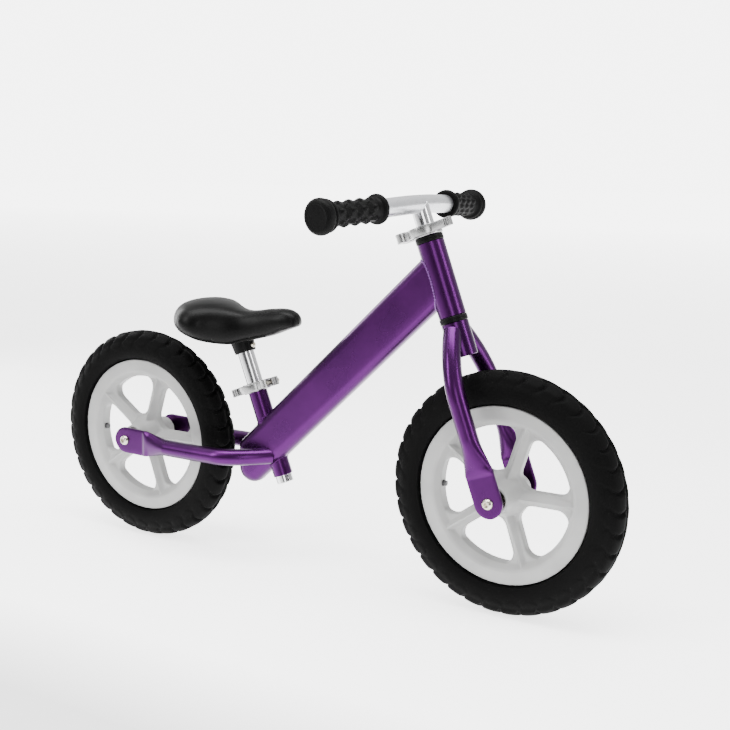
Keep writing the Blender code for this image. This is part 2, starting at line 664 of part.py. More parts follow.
# ---------------------------------------------------------------- main frame
def main_tube_body(name, grow, front_reach, cutter):
    """The main tube's side outline given its width, then rounded along both edges."""
    half = MAIN_HEIGHT / 2 + grow
    rear_x = REAR_END_X - grow
    front = MAIN_FRONT + UP_MAIN * front_reach
    top, low = front + ACROSS_MAIN * half, front - ACROSS_MAIN * half
    rear_top = top - UP_MAIN * ((top.x - rear_x) / UP_MAIN.x)
    rear_low = low - UP_MAIN * ((low.x - rear_x) / UP_MAIN.x)
    corners = [(p.x, p.z) for p in (low, top, rear_top, rear_low)]
    outline = rounded_polygon(corners, (0, 0, MAIN_CORNER + 0.0012 + grow, MAIN_CORNER + 0.0062 + grow), 7)
    body = outline_slab(name, outline, MAIN_WIDTH / 2 + grow, cutter=cutter)
    body.rotation_euler = (math.pi / 2, 0, 0)
    soften = body.modifiers.new("long_edges", "BEVEL")
    soften.width = MAIN_CORNER + grow
    soften.segments = 4
    soften.limit_method = "ANGLE"
    soften.angle_limit = math.radians(60)
    soften.use_clamp_overlap = False
    return body


main_tube = main_tube_body("main_tube", 0, 0.040, False)
main_cavity = main_tube_body("main_tube_cavity", -MAIN_WALL, 0.060, True)
main_tube_clearance = main_tube_body("main_tube_clearance", GAP, 0.040, True)
finish(main_tube, PURPLE)

head_room = rod(
    "head_tube_clearance", HEAD_RADIUS + GAP, HEAD_LENGTH * 2.5, (0, 0, MAIN_ON_AXIS), "Z", 48,
    steering_axis, True,
)
front_cut = block(
    "main_tube_front_cut", (0.2, 0.1, HEAD_LENGTH * 3), (0.1 - HEAD_RADIUS * 0.4, 0, MAIN_ON_AXIS),
    steering_axis, True,
)
seat_room = rod(
    "seat_tube_clearance", SEAT_TUBE_RADIUS + GAP, 3 * MAIN_HEIGHT, (0, 0, 0), "Z", ROUND, seat_axis, True
)
boolean(main_tube, main_cavity)
boolean(main_tube, front_cut)
boolean(main_tube, head_room)
boolean(main_tube, seat_room)

turned(
    "head_tube", sleeve_profile(HEAD_RADIUS - HEAD_WALL, HEAD_RADIUS, HEAD_BOTTOM, HEAD_TOP),
    PURPLE, parent=steering_axis,
)
turned(
    "seat_tube",
    sleeve_profile(POST_RADIUS + GAP, SEAT_TUBE_RADIUS, -SEAT_TUBE_DOWN, SEAT_TUBE_UP),
    PURPLE, parent=seat_axis,
)

bolt_hole = BOLT_RADIUS + GAP
rear_bolt_hole = rod(
    "rear_bolt_hole", bolt_hole, 2.4 * DROPOUT_Y, (0, 0, 0), "Y", 20, rear_wheel_axis, True
)
front_bolt_hole = rod(
    "front_bolt_hole", bolt_hole, 2.4 * DROPOUT_Y, (0, 0, 0), "Y", 20, front_wheel_axis, True
)
crown_clearance = rod(
    "crown_clearance", HEAD_RADIUS + GAP, CROWN_LENGTH * 2, (0, 0, CROWN_BOTTOM + CROWN_LENGTH / 2),
    "Z", 48, steering_axis, True,
)
for side, sign in (("left", 1), ("right", -1)):
    chainstay(side, sign)
    fork_blade(side, sign)

# ---------------------------------------------------------------- steerer and headset
turned(
    "steerer_and_crown",
    [
        (STEERER_RADIUS, STEERER_TOP), (STEERER_RADIUS, CROWN_TOP), (HEAD_RADIUS, CROWN_TOP),
        (HEAD_RADIUS, CROWN_BOTTOM), (STEERER_BORE, CROWN_BOTTOM), (STEERER_BORE, STEERER_TOP),
    ],
    PURPLE, parent=steering_axis,
)


def headset(place, outer_face, inner_face):
    """A black cup pressed into the head tube, and the bearing ring inside it."""
    away = 1 if inner_face > outer_face else -1
    sleeve_end = inner_face + away * 0.008
    pocket = outer_face + away * 0.0055
    cup_radius = HEAD_RADIUS + 0.0005
    bore = STEERER_RADIUS + GAP
    sleeve = HEAD_RADIUS - HEAD_WALL - GAP
    ball_ring = HEAD_RADIUS - 0.0015
    profile = [
        (cup_radius, outer_face), (cup_radius, inner_face), (sleeve, inner_face), (sleeve, sleeve_end),
        (bore, sleeve_end), (bore, pocket), (ball_ring, pocket), (ball_ring, outer_face),
    ]
    if away > 0:
        profile.reverse()
    turned(f"headset_cup_{place}", profile, BLACK, parent=steering_axis)
    low, high = sorted((outer_face, pocket - away * GAP))
    turned(
        f"headset_bearing_{place}", sleeve_profile(bore, ball_ring - GAP, low, high), STEEL,
        steps=16, parent=steering_axis,
    )


headset("lower", LOWER_RING, LOWER_RING + HEADSET_RING)
headset("upper", UPPER_RING + HEADSET_RING, UPPER_RING)


# ---------------------------------------------------------------- quick-release clamps
def quick_release(prefix, axis, low, tube_radius, ears, tip):
    """A slit collar, its skewer and nut, and a cam lever that folds round the rider's right."""
    middle = low + CLAMP_HEIGHT / 2
    ring = tube_radius + CLAMP_WALL
    reach_out = ring + CLAMP_REACH
    bore = rod(prefix + "_bore", tube_radius + GAP, 0.05, (0, 0, middle), "Z", ROUND, axis, True)
    collar = rod(f"{prefix}_clamp_collar", ring, CLAMP_HEIGHT, (0, 0, middle), "Z", ROUND, axis)
    ear = block(
        prefix + "_ears", (reach_out - tube_radius, 2 * CLAMP_EAR, CLAMP_HEIGHT - 0.001),
        (ears * (reach_out + tube_radius) / 2, 0, middle), axis, True,
    )
    slit = block(
        prefix + "_slit", (reach_out + 0.004, CLAMP_SLIT, 0.05),
        (ears * (reach_out + 0.004) / 2, 0, middle), axis, True,
    )
    skewer_x = ears * (ring + SKEWER_OUT)
    hole = rod(
        prefix + "_skewer_hole", SKEWER_RADIUS + GAP, 0.05, (skewer_x, 0, middle), "Y", 16, axis, True
    )
    boolean(collar, ear, "UNION")
    for tool in (bore, slit, hole):
        boolean(collar, tool)
    finish(collar, SILVER)

    pin_y = -(CLAMP_EAR + CAM_RADIUS + GAP)
    pivot = bpy.data.objects.new(f"{prefix}_lever_pivot", None)
    pivot.parent = axis
    pivot.location = (skewer_x, pin_y, middle)
    parts.objects.link(pivot)

    eye_radius = PIN_RADIUS + 0.0022
    nut_face = CLAMP_EAR + GAP
    skewer_end = nut_face + NUT_HEIGHT + 0.001
    reach = skewer_end - (pin_y + PIN_RADIUS + 0.001)
    skewer = rod(
        f"{prefix}_clamp_skewer", SKEWER_RADIUS, reach, (skewer_x, skewer_end - reach / 2, middle),
        "Y", 14, axis,
    )
    eye = rod(prefix + "_eye", eye_radius, 0.0052, (skewer_x, pin_y, middle), "Z", 16, axis, True)
    pin_room = rod(
        prefix + "_pin_room", PIN_RADIUS + GAP, 0.05, (skewer_x, pin_y, middle), "Z", 12, axis, True
    )
    boolean(skewer, eye, "UNION")
    boolean(skewer, pin_room)
    finish(skewer, STEEL)
    turned(
        f"{prefix}_clamp_nut",
        sleeve_profile(SKEWER_RADIUS + GAP, SKEWER_RADIUS + GAP + NUT_WALL, nut_face, nut_face + NUT_HEIGHT),
        STEEL, along="Y", steps=14, parent=axis, location=(skewer_x, 0, middle),
    )
    clamp_lever(prefix, pivot, ring, ears, ring + tip, eye_radius)
    pin = rod(f"{prefix}_lever_pin", PIN_RADIUS, CLAMP_HEIGHT - 0.001, (0, 0, 0), "Z", 12, pivot)
    finish(pin, STEEL)


def clamp_lever(prefix, pivot, ring, ears, tip, eye_radius):
    """The cam head is forked round the skewer's eye; the arm follows the collar to a flared tip."""
    follow = ring + 0.002 + LEVER_THICKNESS / 2
    spine = [Vector(p) for p in arc((0, 0), follow, -math.pi / 4, -3 * math.pi / 4, 7)]
    spine = [Vector((ring + SKEWER_OUT, pivot.location.y - 0.001))] + spine
    spine.append(Vector((-(follow + tip) / 2, spine[-1].y + 0.0005)))
    spine.append(Vector((-tip, spine[-1].y - 0.0025)))
    outer, inner = [], []
    for i, point in enumerate(spine):
        ahead = (spine[min(i + 1, len(spine) - 1)] - spine[max(i - 1, 0)]).normalized()
        side = Vector((-ahead.y, ahead.x)) * LEVER_THICKNESS / 2
        outer.append(point + side)
        inner.append(point - side)
    outline = [(ears * p.x, p.y) for p in outer + inner[::-1]]
    arm = outline_slab(prefix + "_arm", outline, (CLAMP_HEIGHT - 0.002) / 2, pivot, cutter=True)
    arm.location = (-pivot.location.x, -pivot.location.y, 0)
    lever = rod(f"{prefix}_clamp_lever", CAM_RADIUS, CLAMP_HEIGHT - 0.001, (0, 0, 0), "Z", 16, pivot)
    slot = block(
        prefix + "_fork_slot", (4 * eye_radius, 2 * CAM_RADIUS + 0.002, 0.0060),
        (ears * 0.0028, CAM_RADIUS - eye_radius - GAP, 0), pivot, True,
    )
    pin_hole = rod(prefix + "_pin_hole", PIN_RADIUS + GAP, 0.05, (0, 0, 0), "Z", 12, pivot, True)
    boolean(lever, arm, "UNION")
    boolean(lever, slot)
    boolean(lever, pin_hole)
    return finish(lever, SILVER)


quick_release("handlebar", steering_axis, STEER_CLAMP, STEERER_RADIUS, -1, BAR_LEVER_TIP)
quick_release("seat", seat_axis, SEAT_CLAMP, SEAT_TUBE_RADIUS, 1, SEAT_LEVER_TIP)


# ---------------------------------------------------------------- handlebar
def bar_point(y):
    """Middle line of the bar: straight in the middle, swept back outside it."""
    return Vector((-max(0, abs(y) - BAR_STRAIGHT) * math.tan(BAR_SWEEP), y, BAR_HEIGHT))


def handlebar():
    curve = bpy.data.curves.new("handlebar_line", "CURVE")
    curve.dimensions = "3D"
    curve.bevel_depth = BAR_RADIUS
    curve.bevel_resolution = 4
    curve.use_fill_caps = False
    soft = 0.012
    half = [BAR_STRAIGHT - soft, BAR_STRAIGHT, BAR_STRAIGHT + soft, BAR_HALF_WIDTH]
    ys = [-y for y in reversed(half)] + half
    line = curve.splines.new("POLY")
    line.points.add(len(ys) - 1)
    for point, y in zip(line.points, ys):
        place = bar_point(y)
        if abs(abs(y) - BAR_STRAIGHT) < 0.0001:
            place.x = -soft / 4 * math.tan(BAR_SWEEP)
        point.co = (*place, 1)
    bar = curve_to_mesh("handlebar", curve, steering_axis)
    wall = bar.modifiers.new("wall", "SOLIDIFY")
    wall.thickness = BAR_WALL
    wall.offset = -1
    return finish(bar, SILVER)


def grip(side, sign):
    """A rubber sleeve with a thin inner flange and a thick rounded outer one."""
    closed = GRIP_LENGTH
    tip = bar_point(sign * BAR_HALF_WIDTH)
    inward = (bar_point(sign * BAR_STRAIGHT * 2) - tip).normalized()
    root = tip + inward * (closed - GRIP_END_WALL)
    core = GRIP_RADIUS
    big, small = GRIP_RADIUS + GRIP_END_LIP, GRIP_RADIUS + GRIP_INNER_LIP
    bore = BAR_RADIUS + GAP
    profile = [
        (0, closed), (big * 0.80, closed), (big * 0.97, closed - 0.003), (big, closed - 0.007),
        (big * 0.84, closed - 0.013), (core, closed - 0.019),
        (core, 0.012), (small, 0.007), (small * 0.97, 0.002), (small * 0.86, 0),
        (bore, 0), (bore, closed - GRIP_END_WALL + GAP), (0, closed - GRIP_END_WALL + GAP),
    ]
    made = turned(f"grip_{side}", profile, RUBBER, closed=False, steps=20, parent=steering_axis)
    made.location = root
    made.rotation_euler = (-inward).to_track_quat("Z", "Y").to_euler()
    return made


handlebar()
for side, sign in (("left", 1), ("right", -1)):
    grip(side, sign)

stem = turned(
    "stem_tube",
    sleeve_profile(STEM_RADIUS - STEM_WALL, STEM_RADIUS, STEERER_TOP - STEM_INSIDE, BAR_HEIGHT),
    SILVER, parent=steering_axis,
)
bar_room = rod(
    "bar_clearance", BAR_RADIUS + GAP, 0.06, (0, 0, BAR_HEIGHT), "Y", ROUND, steering_axis, True
)
boolean(stem, bar_room)

# ---------------------------------------------------------------- seat post and saddle
turned(
    "seat_post", sleeve_profile(POST_RADIUS - POST_WALL, POST_RADIUS, -POST_BELOW, POST_TOP),
    SILVER, parent=seat_axis,
)


def saddle_cover():
    """The soft top: full and wide behind, waisted, with a raised nose and a turned-down lip."""
    rings = []
    last = len(SADDLE_STATIONS) - 1
    for i, (x, half, top, low) in enumerate(SADDLE_STATIONS):
        depth = SADDLE_BASE_WALL + GAP if 0 < i < last else GAP
        widest = low + 0.36 * (top - low)
        ring = []
        for k in range(13):
            angle = math.pi * k / 12
            c, s = math.cos(angle), math.sin(angle)
            across = math.copysign(abs(c) ** 0.8, c) * half
            ring.append(Vector((x, across, widest + (top - widest) * s ** 0.85)))
        lip = SADDLE_LIP * half
        low_points = [(-0.96 * half, low), (-lip, low), (-lip, low + depth)]
        ring += [Vector((x, y, z)) for y, z in low_points]
        ring += [Vector((x, -y, z)) for y, z in reversed(low_points)]
        rings.append(ring)
    cover = loft("saddle_cover", rings, BLACK, saddle_level)
    boolean(cover, socket_room)
    return cover


def saddle_base():
    """The stiff tray under the cover, with the conical socket that takes the post."""
    rings = []
    for x, half, _, low in SADDLE_STATIONS[2:-2]:
        edge = SADDLE_LIP * half - 2 * GAP
        corners = ((edge, low), (edge, low + SADDLE_BASE_WALL), (-edge, low + SADDLE_BASE_WALL), (-edge, low))
        rings.append([Vector((x, y, z)) for y, z in corners])
    base = loft("saddle_base", rings, BLACK, saddle_level)
    boolean(base, socket, "UNION")
    boolean(base, post_room)
    boolean(base, screw_room)
    return base


socket_radius = POST_RADIUS + COLLAR_WALL
socket_top = SADDLE_HEIGHT + SOCKET_DEPTH * 0.6
socket = turned(
    "saddle_socket",
    [
        (0, socket_top), (socket_radius + 0.002, socket_top), (socket_radius + 0.002, SADDLE_HEIGHT),
        (socket_radius, COLLAR_BOTTOM), (0, COLLAR_BOTTOM),
    ],
    BLACK, closed=False, parent=seat_axis,
)
parts.objects.unlink(socket)
cutters.objects.link(socket)
socket.hide_render = True
socket.display_type = "WIRE"
socket_room = rod(
    "socket_clearance", socket_radius + 0.002 + GAP, 0.05, (0, 0, socket_top + GAP - 0.025), "Z", ROUND,
    seat_axis, True,
)
post_room = rod(
    "post_clearance", POST_RADIUS + GAP, 0.08, (0, 0, POST_TOP + GAP - 0.04), "Z", ROUND, seat_axis, True
)
SCREW_HEIGHT = SADDLE_HEIGHT - 0.0095
SCREW_RADIUS = 0.0025
screw_room = rod(
    "screw_clearance", SCREW_RADIUS + GAP, 0.03, (0.018, 0, SCREW_HEIGHT), "X", 12, seat_axis, True
)
saddle_cover()
saddle_base()
SCREW_HEAD = socket_radius + 0.002 + GAP
saddle_screw = turned(
    "saddle_screw",
    [
        (0, SCREW_HEAD + 0.002), (0.0036, SCREW_HEAD + 0.0016), (0.004, SCREW_HEAD),
        (SCREW_RADIUS, SCREW_HEAD), (SCREW_RADIUS, POST_RADIUS + GAP), (0, POST_RADIUS + GAP),
    ],
    STEEL, closed=False, steps=16, parent=seat_axis, location=(0, 0, SCREW_HEIGHT),
)
saddle_screw.rotation_euler = (0, math.pi / 2, 0)
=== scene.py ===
# %% [markdown]
# # A child's balance bike, dressed piece by piece
# The engineering model gives a fixed frame: where every piece is and what it turns on. This
# lesson puts a finely made piece over each plain one, with the finish that the real one has:
# anodised aluminium tubes, foam tyres on moulded nylon wheels, polished clamps and soft rubber.
# Lengths are in metres, +X is forward, +Y is the rider's left and +Z is up.

# %% Load the frame
import bpy
import json
import math
from mathutils import Matrix, Vector


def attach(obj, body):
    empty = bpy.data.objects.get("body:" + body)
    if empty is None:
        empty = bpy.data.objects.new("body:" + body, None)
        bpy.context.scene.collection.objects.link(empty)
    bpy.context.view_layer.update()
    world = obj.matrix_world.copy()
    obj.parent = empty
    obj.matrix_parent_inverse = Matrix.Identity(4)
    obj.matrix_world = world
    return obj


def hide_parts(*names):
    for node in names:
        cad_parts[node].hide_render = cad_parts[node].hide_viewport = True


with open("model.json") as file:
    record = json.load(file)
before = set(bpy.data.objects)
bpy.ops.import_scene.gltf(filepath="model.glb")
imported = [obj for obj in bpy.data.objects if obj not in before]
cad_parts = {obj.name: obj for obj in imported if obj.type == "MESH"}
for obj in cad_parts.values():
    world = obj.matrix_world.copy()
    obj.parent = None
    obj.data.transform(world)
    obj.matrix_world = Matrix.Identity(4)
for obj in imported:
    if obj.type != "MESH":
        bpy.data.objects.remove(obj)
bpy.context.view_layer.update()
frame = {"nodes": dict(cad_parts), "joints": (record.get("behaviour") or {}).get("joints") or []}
joints = {joint["name"]: joint for joint in frame["joints"]}

# %% [markdown]
# ## The places that everything hangs on
# Two lines carry most of the bike: the steering axis, which leans back 20 degrees and passes
# through the front axle, and the seat post's axis. Heights along them are the model's own sizes.

# %% Axles, axes and the frames that go with them
FRONT_AXLE = Vector(joints["front_wheel_spin"]["pos_m"])
REAR_AXLE = Vector(joints["rear_wheel_spin"]["pos_m"])
UP_STEER = Vector(joints["steering"]["axis"]).normalized()
UP_SEAT = Vector(joints["seat_height"]["axis"]).normalized()
SEAT_POINT = Vector((-0.06125, 0, 0.167045))      # where the post's axis meets the main tube's
MAIN_SLOPE = math.radians(43.3)
UP_MAIN = Vector((math.cos(MAIN_SLOPE), 0, math.sin(MAIN_SLOPE)))
ACROSS_MAIN = Vector((-math.sin(MAIN_SLOPE), 0, math.cos(MAIN_SLOPE)))
LEFT = Vector((0, 1, 0))

GAP = 0.0003                                      # between pieces that touch
TYRE_RADIUS, TUBE_RADIUS = 0.148, 0.0111          # the tubes are 22.2 mm all over the bike
CROWN_BOTTOM, CROWN_TOP = 0.169, 0.2107
LOWER_RING, HEAD_BOTTOM, HEAD_TOP, UPPER_RING = 0.2110, 0.2183, 0.3097, 0.3100
STEER_CLAMP, STEERER_TOP, BAR_HEIGHT = 0.3176, 0.3301, 0.3567
HEAD_JOINT = 0.2689                               # main tube's middle line up the steering axis
MAIN_FRONT = FRONT_AXLE + UP_STEER * HEAD_JOINT
REAR_END_X = -0.11155                             # rear end of the main tube


def standing(origin, up):
    """A frame at a point whose Z runs up an axis and whose Y stays the rider's left."""
    along = LEFT.cross(up).normalized()
    turn = Matrix((along, LEFT, up)).transposed().to_4x4()
    return Matrix.Translation(origin) @ turn


STEER = standing(FRONT_AXLE, UP_STEER)
SEAT = standing(SEAT_POINT, UP_SEAT)
UNMOVED = Matrix.Identity(4)
LYING = Matrix.Rotation(-math.pi / 2, 4, "X")     # takes a turned piece's Z to +Y, across the bike
UPRIGHT = Matrix.Rotation(math.pi / 2, 4, "X")    # stands a flat outline up in side view
UP_TO_ALONG = Matrix.Rotation(-math.pi / 2, 4, "Y")   # stands a route along X up along Z
FRONT_WHEEL = Matrix.Translation(FRONT_AXLE)
REAR_WHEEL = Matrix.Translation(REAR_AXLE)
print("bar centre at", [round(v, 4) for v in STEER @ Vector((0, 0, BAR_HEIGHT))])

# %% [markdown]
# ## Small tools
# Operators act on whatever is selected, so each step first selects one piece alone. `applied`
# puts a modifier on and keeps its result, `cut` takes one solid out of another, and `placed`
# moves the mesh itself, because the object has to stay at the origin.


# %% Selecting, applying and cutting
def only(piece):
    """Select one piece alone and make it the active one."""
    bpy.ops.object.select_all(action="DESELECT")
    piece.select_set(True)
    bpy.context.view_layer.objects.active = piece
    return piece


def named(piece, name):
    """Give an object and its mesh the same name."""
    piece.name = piece.data.name = name
    return piece


def applied(piece, kind, **settings):
    """Add a modifier with its settings and keep the shape that it makes."""
    only(piece)
    step = piece.modifiers.new(kind.lower(), kind)
    for key, value in settings.items():
        setattr(step, key, value)
    bpy.ops.object.modifier_apply(modifier=step.name)
    return piece


def cut(piece, tool, operation="DIFFERENCE"):
    """Take one solid out of another, or join it on with UNION, and throw the tool away."""
    applied(piece, "BOOLEAN", object=tool, operation=operation, solver="EXACT")
    bpy.data.objects.remove(tool)
    return piece


def placed(piece, matrix):
    """Move a piece's mesh to its place, so that its object stays at the origin."""
    piece.data.transform(matrix)
    piece.data.update()
    return piece


# %% [markdown]
# ## Three ways to make a shape
# A turned piece is a closed section spun round an axis, as on a lathe. A bent or changing tube
# is a flat grid that is rolled up: each corner of the grid is sent to its spot along and round
# the tube, and the seam is merged. A plate is an outline that is filled and given a thickness
# and round edges.


# %% Spin, roll and plate
MERGE = 0.00001                                   # corners this close become one


def spun(name, section, matrix, steps=64):
    """Spin a closed section of (radius, height) corners round Z, then put it in place."""
    bpy.ops.object.select_all(action="DESELECT")
    bpy.ops.mesh.primitive_circle_add(vertices=len(section), radius=1)
    piece = named(bpy.context.object, name)
    for corner, (radius, height) in zip(piece.data.vertices, section):
        corner.co = (radius, 0, height)
    bpy.ops.object.mode_set(mode="EDIT")
    bpy.ops.mesh.select_all(action="SELECT")
    bpy.ops.mesh.spin(steps=steps, angle=2 * math.pi, center=(0, 0, 0), axis=(0, 0, 1))
    bpy.ops.mesh.select_all(action="SELECT")
    bpy.ops.mesh.remove_doubles(threshold=MERGE)
    bpy.ops.mesh.dissolve_degenerate(threshold=MERGE / 2)
    bpy.ops.mesh.normals_make_consistent(inside=False)
    bpy.ops.object.mode_set(mode="OBJECT")
    return placed(piece, matrix)


def rolled(name, along, around, spot, matrix=UNMOVED):
    """Roll a flat grid into a skin; spot(u, v) gives each corner's place, both from 0 to 1."""
    bpy.ops.object.select_all(action="DESELECT")
    bpy.ops.mesh.primitive_grid_add(x_subdivisions=along, y_subdivisions=around, size=1)
    piece = named(bpy.context.object, name)
    for corner in piece.data.vertices:
        corner.co = spot(corner.co.x + 0.5, corner.co.y + 0.5)
    bpy.ops.object.mode_set(mode="EDIT")
    bpy.ops.mesh.select_all(action="SELECT")
    bpy.ops.mesh.remove_doubles(threshold=MERGE)
    bpy.ops.mesh.fill_holes(sides=0)
    bpy.ops.mesh.select_all(action="SELECT")
    bpy.ops.mesh.normals_make_consistent(inside=False)
    bpy.ops.object.mode_set(mode="OBJECT")
    return placed(piece, matrix)


def plate(name, outline, half, edge, matrix, holes=()):
    """Fill an outline of (x, y) points; round edges of size edge grow it outwards."""
    drawn = bpy.data.curves.new(name, "CURVE")
    drawn.dimensions = "2D"
    drawn.fill_mode = "BOTH"
    drawn.extrude = half - edge
    drawn.bevel_depth = edge
    drawn.bevel_resolution = 6 if edge > 0.004 else 2      # a big round edge needs more steps
    for loop in (outline, *holes):
        line = drawn.splines.new("POLY")
        line.points.add(len(loop) - 1)
        line.use_cyclic_u = True
        for point, (x, y) in zip(line.points, loop):
            point.co = (x, y, 0, 1)
    piece = bpy.data.objects.new(name, drawn)
    bpy.context.scene.collection.objects.link(piece)
    only(piece)
    bpy.ops.object.convert(target="MESH")
    piece = named(bpy.context.object, name)
    bpy.ops.object.mode_set(mode="EDIT")
    bpy.ops.mesh.select_all(action="SELECT")
    bpy.ops.mesh.remove_doubles(threshold=MERGE)
    bpy.ops.mesh.normals_make_consistent(inside=False)
    bpy.ops.object.mode_set(mode="OBJECT")
    return placed(piece, matrix)


def rod(name, radius, low, high, matrix=UNMOVED, steps=64):
    """A plain round bar, used to cut a bore or a socket."""
    return spun(name, [(0, low), (radius, low), (radius, high), (0, high)], matrix, steps)


def block(name, size):
    """A plain block about the origin, used to cut a slit."""
    bpy.ops.mesh.primitive_cube_add(size=1)
    return placed(named(bpy.context.object, name), Matrix.Diagonal((*size, 1)))


def arc(centre, radius, start, end, count):
    """Points on an arc between two angles in radians, both ends included."""
    spread = [start + (end - start) * i / (count - 1) for i in range(count)]
    return [(centre[0] + radius * math.cos(a), centre[1] + radius * math.sin(a)) for a in spread]


def smooth_step(low, high, value):
    """Rise from 0 to 1 between two values, level at both ends."""
    share = min(1, max(0, (value - low) / (high - low)))
    return share * share * (3 - 2 * share)


# %% [markdown]
# ## Materials: one node helper
# Every finish is a small node tree. Colours are picked as screen hex values and turned to the
# linear numbers that the shader works in. Patterns read Object coordinates, which are metres,
# so a scale of 1000 means one repeat per millimetre.


# %% The node helper and the base of every finish
def linear(hex_colour):
    """Turn an sRGB hex colour to linear RGBA."""
    values = [int(hex_colour[i:i + 2], 16) / 255 for i in (1, 3, 5)]
    return (*[v / 12.92 if v <= 0.04045 else ((v + 0.055) / 1.055) ** 2.4 for v in values], 1)


def add(tree, kind, inputs=None, **settings):
    """Add one node, set its properties, and set or link its inputs."""
    made = tree.nodes.new("ShaderNode" + kind)
    for key, value in settings.items():
        setattr(made, key, value)
    for key, value in (inputs or {}).items():
        socket = made.inputs[key]
        if isinstance(value, bpy.types.NodeSocket):
            tree.links.new(value, socket)
        else:
            socket.default_value = value
    return made


def surface(name, **constants):
    """A new material with its shader's own sockets set; returns it, its tree and its shader."""
    made = bpy.data.materials.new(name)
    made.use_nodes = True
    shader = made.node_tree.nodes["Principled BSDF"]
    for key, value in constants.items():
        shader.inputs[key.replace("_", " ").title().replace("Ior", "IOR")].default_value = value
    return made, made.node_tree, shader


def stretched(tree, scale):
    """Object coordinates in metres, with a repeat rate of their own along each direction."""
    spot = add(tree, "TexCoord")
    return add(tree, "Mapping", {"Vector": spot.outputs["Object"], "Scale": scale})


def varied(tree, shader, vector, tones, rate, detail=3.0):
    """Drift the colour softly between two tones."""
    noise = add(tree, "TexNoise", {"Vector": vector, "Scale": rate, "Detail": detail})
    ramp = add(tree, "ValToRGB", {"Fac": noise.outputs["Fac"]})
    for stop, position, tone in zip(ramp.color_ramp.elements, (0.35, 0.65), tones):
        stop.position, stop.color = position, linear(tone)
    tree.links.new(ramp.outputs["Color"], shader.inputs["Base Color"])
    return noise


def ranged(tree, value, low, high):
    """Spread a 0-1 pattern over a range, for a roughness."""
    spread = add(tree, "MapRange", {"Value": value, "From Min": 0.3, "From Max": 0.7, "To Min": low,
                                    "To Max": high})
    return spread.outputs["Result"]


def bumped(tree, shader, height, strength, distance):
    """Tilt the shading by a height pattern; distance is how deep it is in metres."""
    bump = add(tree, "Bump", {"Height": height, "Strength": strength, "Distance": distance})
    tree.links.new(bump.outputs["Normal"], shader.inputs["Normal"])
    return bump


# %% [markdown]
# ### Anodised aluminium
# The tubes are blasted, then anodised and dyed: a metal whose colour lies in its skin, with a
# satin sheen. The blasted grain is about 0.15 mm, too fine to show, so it is drawn at 0.5 mm.


# %% Purple anodised aluminium
def anodised(name, dark, light, roughness):
    """Dyed metal with slow colour drift, a blasted grain and a thin clear skin."""
    made, tree, shader = surface(name, metallic=0.96, coat_weight=0.10, coat_roughness=0.28)
    place = stretched(tree, (1, 1, 1))
    drift = varied(tree, shader, place.outputs["Vector"], (dark, light), 14)
    grain = add(tree, "TexNoise", {"Vector": place.outputs["Vector"], "Scale": 2000, "Detail": 1.0})
    tree.links.new(ranged(tree, drift.outputs["Fac"], *roughness), shader.inputs["Roughness"])
    bumped(tree, shader, grain.outputs["Fac"], 0.04, 0.0001)
    return made


PURPLE = anodised("anodised_aluminium_purple", "#390D44", "#43124E", (0.25, 0.32))
WELD = anodised("welded_bead_purple", "#5A2E6E", "#7A528C", (0.34, 0.44))


# %% [markdown]
# ### Bare aluminium and plated steel
# The bar is drawn tube with a satin brush, the posts are polished, the clamps are tumbled, and the
# bolts are zinc plated. Brush lines are about 0.1 mm apart, drawn here at 0.4 mm so that they show.


# %% Bare metals
def brushed(name, dark, light, roughness, lines, depth):
    """A metal with fine marks; lines gives how densely they repeat along X, Y and Z."""
    made, tree, shader = surface(name, metallic=1.0)
    place = stretched(tree, lines)
    marks = varied(tree, shader, place.outputs["Vector"], (dark, light), 1.0, 2.0)
    tree.links.new(ranged(tree, marks.outputs["Fac"], *roughness), shader.inputs["Roughness"])
    bumped(tree, shader, marks.outputs["Fac"], depth, 0.00005)
    return made


BAR_METAL = brushed("satin_aluminium", "#C4C5C8", "#D3D4D7", (0.26, 0.36), (2500, 60, 2500), 0.15)
POLISHED = brushed("polished_aluminium", "#C9C9CB", "#D8D8DA", (0.10, 0.17), (300, 300, 2400), 0.05)
CLAMP_METAL = brushed("tumbled_aluminium", "#A2A2A2", "#B2B2B2", (0.22, 0.32), (900, 900, 900), 0.10)
STEEL = brushed("zinc_plated_steel", "#B9B4A6", "#CBC6B8", (0.16, 0.28), (700, 700, 700), 0.08)


# %% [markdown]
# ### Plastics, foam and rubber
# Nylon comes from a spark-eroded mould with a fine grain. The tyre is closed-cell foam, matt
# with pores under a millimetre. Grips are soft rubber, and the saddle has a satin skin with a
# grain like leather, about 1.5 mm across.


# %% Plastics, foam and rubber
def grained(name, dark, light, roughness, grain, depth, ior=1.5, cells=False, gloss=0.5):
    """A dielectric with colour drift and a fine grain of a real size in metres."""
    made, tree, shader = surface(name, metallic=0.0, ior=ior, specular_ior_level=gloss)
    place = stretched(tree, (1, 1, 1))
    vector = place.outputs["Vector"]
    drift = varied(tree, shader, vector, (dark, light), 30, 4.0)
    tree.links.new(ranged(tree, drift.outputs["Fac"], *roughness), shader.inputs["Roughness"])
    kind = "TexVoronoi" if cells else "TexNoise"
    fine = add(tree, kind, {"Vector": vector, "Scale": 1 / grain})
    height = fine.outputs["Distance" if cells else "Fac"]
    bumped(tree, shader, height, depth, grain / 4)
    return made


